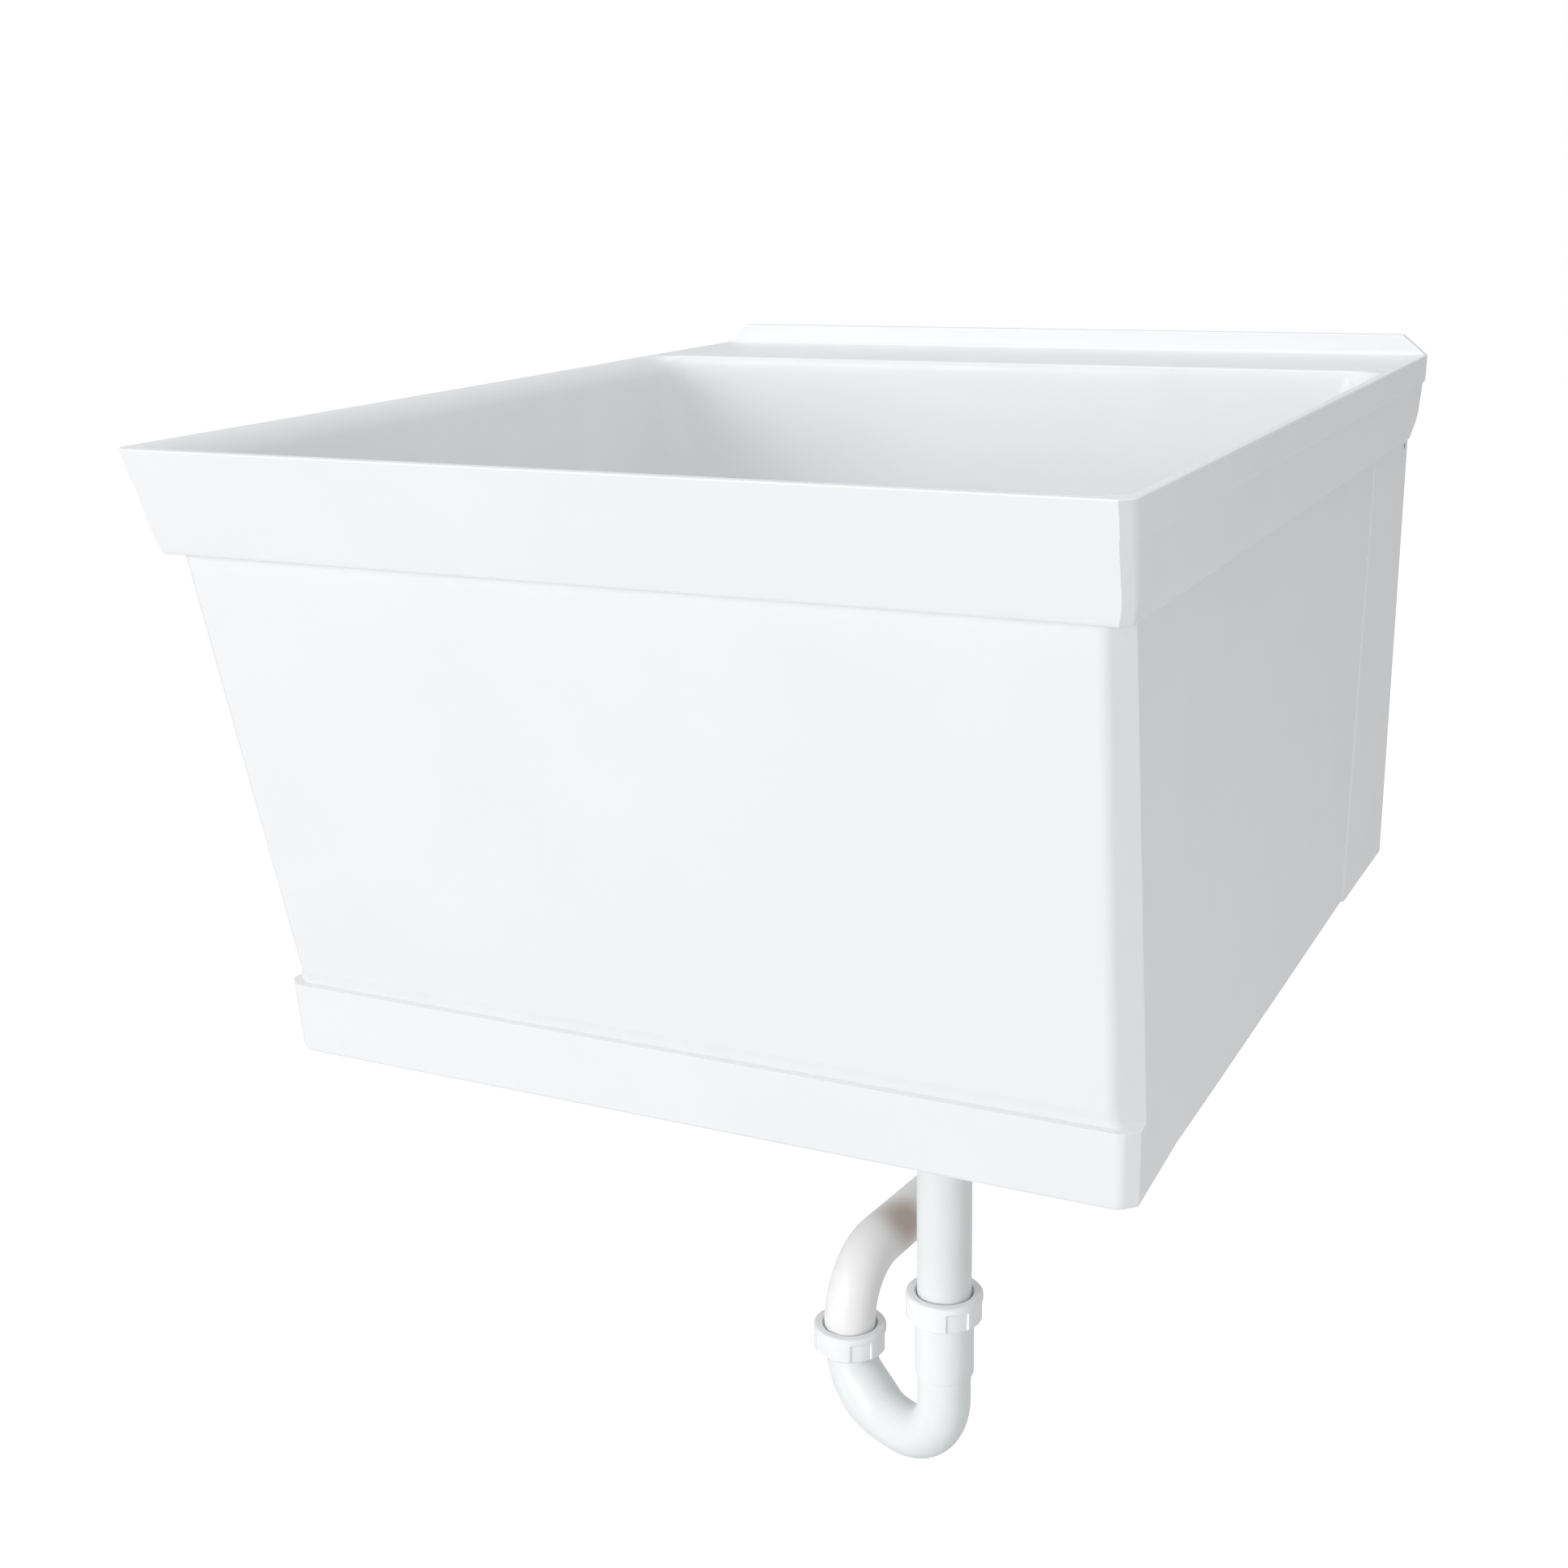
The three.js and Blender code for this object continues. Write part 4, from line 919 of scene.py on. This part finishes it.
def galvanised_steel(name):
    """Hot-dip zinc on sheet steel: spangle of flat grey crystals about 7 mm across."""
    material, tree = blank_material(name)
    place_in = node(tree, "ShaderNodeTexCoord").outputs["Object"]
    spangle = node(tree, "ShaderNodeTexVoronoi", {"Vector": place_in, "Scale": per_metre(7.0)})
    tone = node(tree, "ShaderNodeSeparateColor", {"Color": spangle.outputs["Color"]})
    blend = node(tree, "ShaderNodeMix", {"Factor": tone.outputs["Red"]}, data_type="RGBA")
    blend.inputs[6].default_value = colour("#A9AEB1")
    blend.inputs[7].default_value = colour("#C9CDCF")
    dull = node(tree, "ShaderNodeMapRange", {
        "Value": tone.outputs["Green"], "To Min": 0.32, "To Max": 0.5,
    })
    shader = node(tree, "ShaderNodeBsdfPrincipled", {
        "Base Color": blend.outputs[2], "Roughness": dull.outputs["Result"], "Metallic": 1.0,
    })
    node(tree, "ShaderNodeOutputMaterial", {"Surface": shader.outputs["BSDF"]})
    return material


# ---- putting the pieces on the frame -------------------------------------------------------
CRISP_EDGE = math.radians(32)


def fit(piece, body, cad_node, material):
    """Smooth shading with crisp edges, the material, and the CAD body that the piece moves with."""
    piece.data.materials.clear()
    piece.data.materials.append(material)
    piece.data.shade_smooth()
    piece.data.set_sharp_from_angle(angle=CRISP_EDGE)
    flat = piece.modifiers.new("flat faces stay flat", "WEIGHTED_NORMAL")
    flat.keep_sharp = True
    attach(piece, body)
    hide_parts(cad_node)


# painted shade in the right pilot hole's mouth, and a painted brown-grey shadow on the arm by the
# tailpiece
pilot_hole_painted_shade = ("#3A3738", place((241.5, PILOT_HOLE_Y, PILOT_HOLE_Z)), 3.4)
arm_painted_shadow = ("#C3B5AA", place((-74.0, -97.0, -640.0)), 32.0)

# the tub's colour carries a spot of painted shade in the right pilot hole's mouth
tub_white = moulded_polypropylene(
    "moulded_polypropylene_tub", "#F4F5F7", "#F0F2F3", sag_mm=0.25, roughness=0.36, grain_mm=0.9,
    grain_depth_mm=0.012, painted_shade=pilot_hole_painted_shade)
tail_white = moulded_polypropylene(
    "moulded_polypropylene_tail", "#E9ECED", "#E5E8E9", sag_mm=0.05)
pipe_white = moulded_polypropylene(
    "moulded_polypropylene_pipe", "#F0F3F4", "#ECEFF0", sag_mm=0.08)
nut_white = moulded_polypropylene(
    "moulded_polypropylene_nut", "#F4F6F7", "#F1F3F4", sag_mm=0.03, roughness=0.36)
# the arm's colour carries a painted brown-grey shadow behind the tailpiece
arm_white = moulded_polypropylene(
    "moulded_polypropylene_arm", "#F5F5F4", "#F1F1F0", sag_mm=0.08, painted_shade=arm_painted_shadow)
drain_white = moulded_polypropylene(
    "moulded_polypropylene_drain", "#EDEEEE", "#E8E9E9", sag_mm=0.05, roughness=0.4)
washer_white = moulded_polypropylene(
    "polyethylene_washer", "#DDE1E3", "#D6DADD", sag_mm=0.02, roughness=0.48, grain_mm=0.6)
black_rubber = moulded_rubber("moulded_rubber")
zinc_steel = galvanised_steel("galvanised_sheet_steel")

tub = build_tub()
tub.name = "tub_fine"
fit(tub, "tub", "tub", tub_white)

hanger = build_hanger()
hanger.name = "wall_hanger_fine"
fit(hanger, "tub", "wall_hanger", zinc_steel)
for number, (x, z) in enumerate(SCREWS, 1):
    screw = build_lag_screw(f"lag_screw_{number}_fine", x, z)
    fit(screw, "tub", f"lag_screw_{number}", zinc_steel)
    washer = build_screw_washer(f"screw_washer_{number}_fine", x, z)
    fit(washer, "tub", f"screw_washer_{number}", zinc_steel)

fit(build_drain_body(), "tub", "drain_body", drain_white)
gasket = build_plain_ring("drain_gasket_fine", LOOSE_BORE, 33.0, -302.9, -301.5)
fit(gasket, "tub", "drain_gasket", black_rubber)
under_washer = build_plain_ring("drain_rubber_washer_fine", LOOSE_BORE, 36.0, -312.1, -309.1, 0.6)
fit(under_washer, "tub", "drain_rubber_washer", black_rubber)
friction = build_plain_ring("drain_friction_ring_fine", LOOSE_BORE, 34.0, -313.2, -312.2, 0.2)
fit(friction, "tub", "drain_friction_ring", washer_white)
fit(build_locknut(), "drain_locknut", "drain_locknut", drain_white)
fit(build_stopper(), "drain_stopper", "drain_stopper", black_rubber)

tail_washer = build_plain_ring("tailpiece_washer_fine", DRAIN_BORE, 22.6, -351.5, -349.5)
fit(tail_washer, "tub", "tailpiece_washer", washer_white)
tail_nut = build_slip_nut("tailpiece_nut_fine", 0.0, DRAIN_Y, TAIL_NUT_CAP, 1, TUBE + 0.3)
fit(tail_nut, "tailpiece_nut", "tailpiece_nut", nut_white)
fit(build_tailpiece(), "tub", "tailpiece", tail_white)

inlet_washer = build_slip_washer("inlet_washer_fine", 0.0, DRAIN_Y, INLET_NUT_TOP)
fit(inlet_washer, "j_bend", "inlet_washer", washer_white)
inlet_nut = build_slip_nut("inlet_nut_fine", 0.0, DRAIN_Y, INLET_NUT_TOP, -1, NUT_HOLE)
fit(inlet_nut, "inlet_nut", "inlet_nut", nut_white)
fit(build_j_bend(), "j_bend", "j_bend", pipe_white)
outlet_washer = build_slip_washer("outlet_washer_fine", OUTLET.x, OUTLET.y, OUTLET_NUT_TOP)
fit(outlet_washer, "j_bend", "outlet_washer", washer_white)
outlet_nut = build_slip_nut("outlet_nut_fine", OUTLET.x, OUTLET.y, OUTLET_NUT_TOP, -1, NUT_HOLE)
fit(outlet_nut, "outlet_nut", "outlet_nut", nut_white)
fit(build_trap_arm(), "trap_arm", "trap_arm", arm_white)


# ---- floor, light and camera ---------------------------------------------------------------
MIRRORED_WHITE = 0.2         # share of the floor's white that reflections see


def camera_white(tree, surface, strength):
    """The lit surface with white of the given strength over it. The camera and transmission rays see
    all of that white. Reflections see a share, because all of it would make the tub's grazing side
    as bright as its corner facets."""
    path = node(tree, "ShaderNodeLightPath")
    mirrored_white = node(tree, "ShaderNodeMath", {
        0: path.outputs["Is Glossy Ray"], 1: MIRRORED_WHITE,
    }, operation="MULTIPLY")
    seen = node(tree, "ShaderNodeMath", {
        0: path.outputs["Is Camera Ray"], 1: mirrored_white.outputs[0],
    }, operation="MAXIMUM")
    seen = node(tree, "ShaderNodeMath", {
        0: seen.outputs[0], 1: path.outputs["Is Transmission Ray"],
    }, operation="MAXIMUM")
    glow = node(tree, "ShaderNodeEmission", {"Color": (1, 1, 1, 1), "Strength": strength})
    both = node(tree, "ShaderNodeAddShader", {0: surface, 1: glow.outputs[0]})
    mixed = node(tree, "ShaderNodeMixShader", {0: seen.outputs[0], 1: surface, 2: both.outputs[0]})
    return mixed.outputs[0]


def pale_floor():
    """Plain pale floor under the sink, at the height that puts the rim 914 mm above it."""
    low, reach = -914.0, 9000
    corners = [(-reach, -reach, low), (reach, -reach, low), (reach, reach, low), (-reach, reach, low)]
    floor = piece_from("floor", corners, [(0, 1, 2, 3)])
    material, tree = blank_material("pale_floor")
    paint = node(tree, "ShaderNodeBsdfDiffuse", {"Color": colour("#E0E0E0")})
    node(tree, "ShaderNodeOutputMaterial", {"Surface": camera_white(tree, paint.outputs[0], 0.72)})
    floor.data.materials.append(material)


def soft_room():
    """Even studio light from all round, white to the camera."""
    world = bpy.data.worlds.new("soft_room")
    bpy.context.scene.world = world
    world.use_nodes = True
    tree = world.node_tree
    tree.nodes.clear()
    light = node(tree, "ShaderNodeBackground", {"Color": colour("#FFFFFF"), "Strength": 0.545})
    white = node(tree, "ShaderNodeBackground", {"Color": (1, 1, 1, 1), "Strength": 1.0})
    path = node(tree, "ShaderNodeLightPath")
    seen = node(tree, "ShaderNodeMath", {
        0: path.outputs["Is Camera Ray"], 1: path.outputs["Is Transmission Ray"],
    }, operation="MAXIMUM")
    both = node(tree, "ShaderNodeMixShader", {
        0: seen.outputs[0], 1: light.outputs[0], 2: white.outputs[0],
    })
    node(tree, "ShaderNodeOutputWorld", {"Surface": both.outputs[0]})


def soft_lamp(name, at, aim, width, height, watts, spread=180):
    """A soft rectangular lamp at one point, aimed at another. Places and sizes are metres in the
    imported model's frame, and the spread is degrees."""
    data = bpy.data.lights.new(name, "AREA")
    data.spread = math.radians(spread)
    data.shape = "RECTANGLE"
    data.size, data.size_y = width, height
    data.energy = watts
    lamp = bpy.data.objects.new(name, data)
    bpy.context.scene.collection.objects.link(lamp)
    lamp.location = at
    lamp.rotation_euler = (Vector(aim) - Vector(at)).to_track_quat("-Z", "Y").to_euler()


def photo_camera():
    """Camera at the photograph's place, solved from its vanishing points."""
    data = bpy.data.cameras.new("photo_camera")
    data.lens = 48.55
    data.sensor_width = 36.0
    data.clip_end = 100.0
    camera = bpy.data.objects.new("photo_camera", data)
    bpy.context.scene.collection.objects.link(camera)
    eye = place((486.7, -1423.4, 123.8))
    right = Vector((0.8989, 0.4377, -0.0189))
    down = Vector((0.1063, -0.2599, -0.9598))
    forward = Vector((-0.4250, 0.8607, -0.2802))
    turn = Matrix((right, -down, -forward)).transposed().to_4x4()
    camera.matrix_world = Matrix.Translation(eye) @ turn
    bpy.context.scene.camera = camera


pale_floor()
soft_room()
soft_lamp("front_left_window", (-1.6, -3.4, 0.72), (0.0, -0.3, 0.0), 1.3, 1.3, watts=44.0)
soft_lamp("front_right_window", (1.0, -3.0, 0.1), (0.1, -0.3, -0.1), 1.2, 1.2, watts=3.8)
soft_lamp("right_reflector", (0.95, -1.4, -0.15), (0.25, -0.5, -0.15), 0.5, 0.6, watts=0.9)
soft_lamp("ceiling", (0.0, -0.6, 3.2), (0.0, -0.3, 0.0), 2.4, 2.4, watts=35.0)
soft_lamp("trap_reflector", (-0.35, -1.15, -0.42), (-0.03, -0.2, -0.57), 0.3, 0.12, watts=0.095,
          spread=36)
photo_camera()
bpy.context.scene.view_settings.view_transform = "Standard"
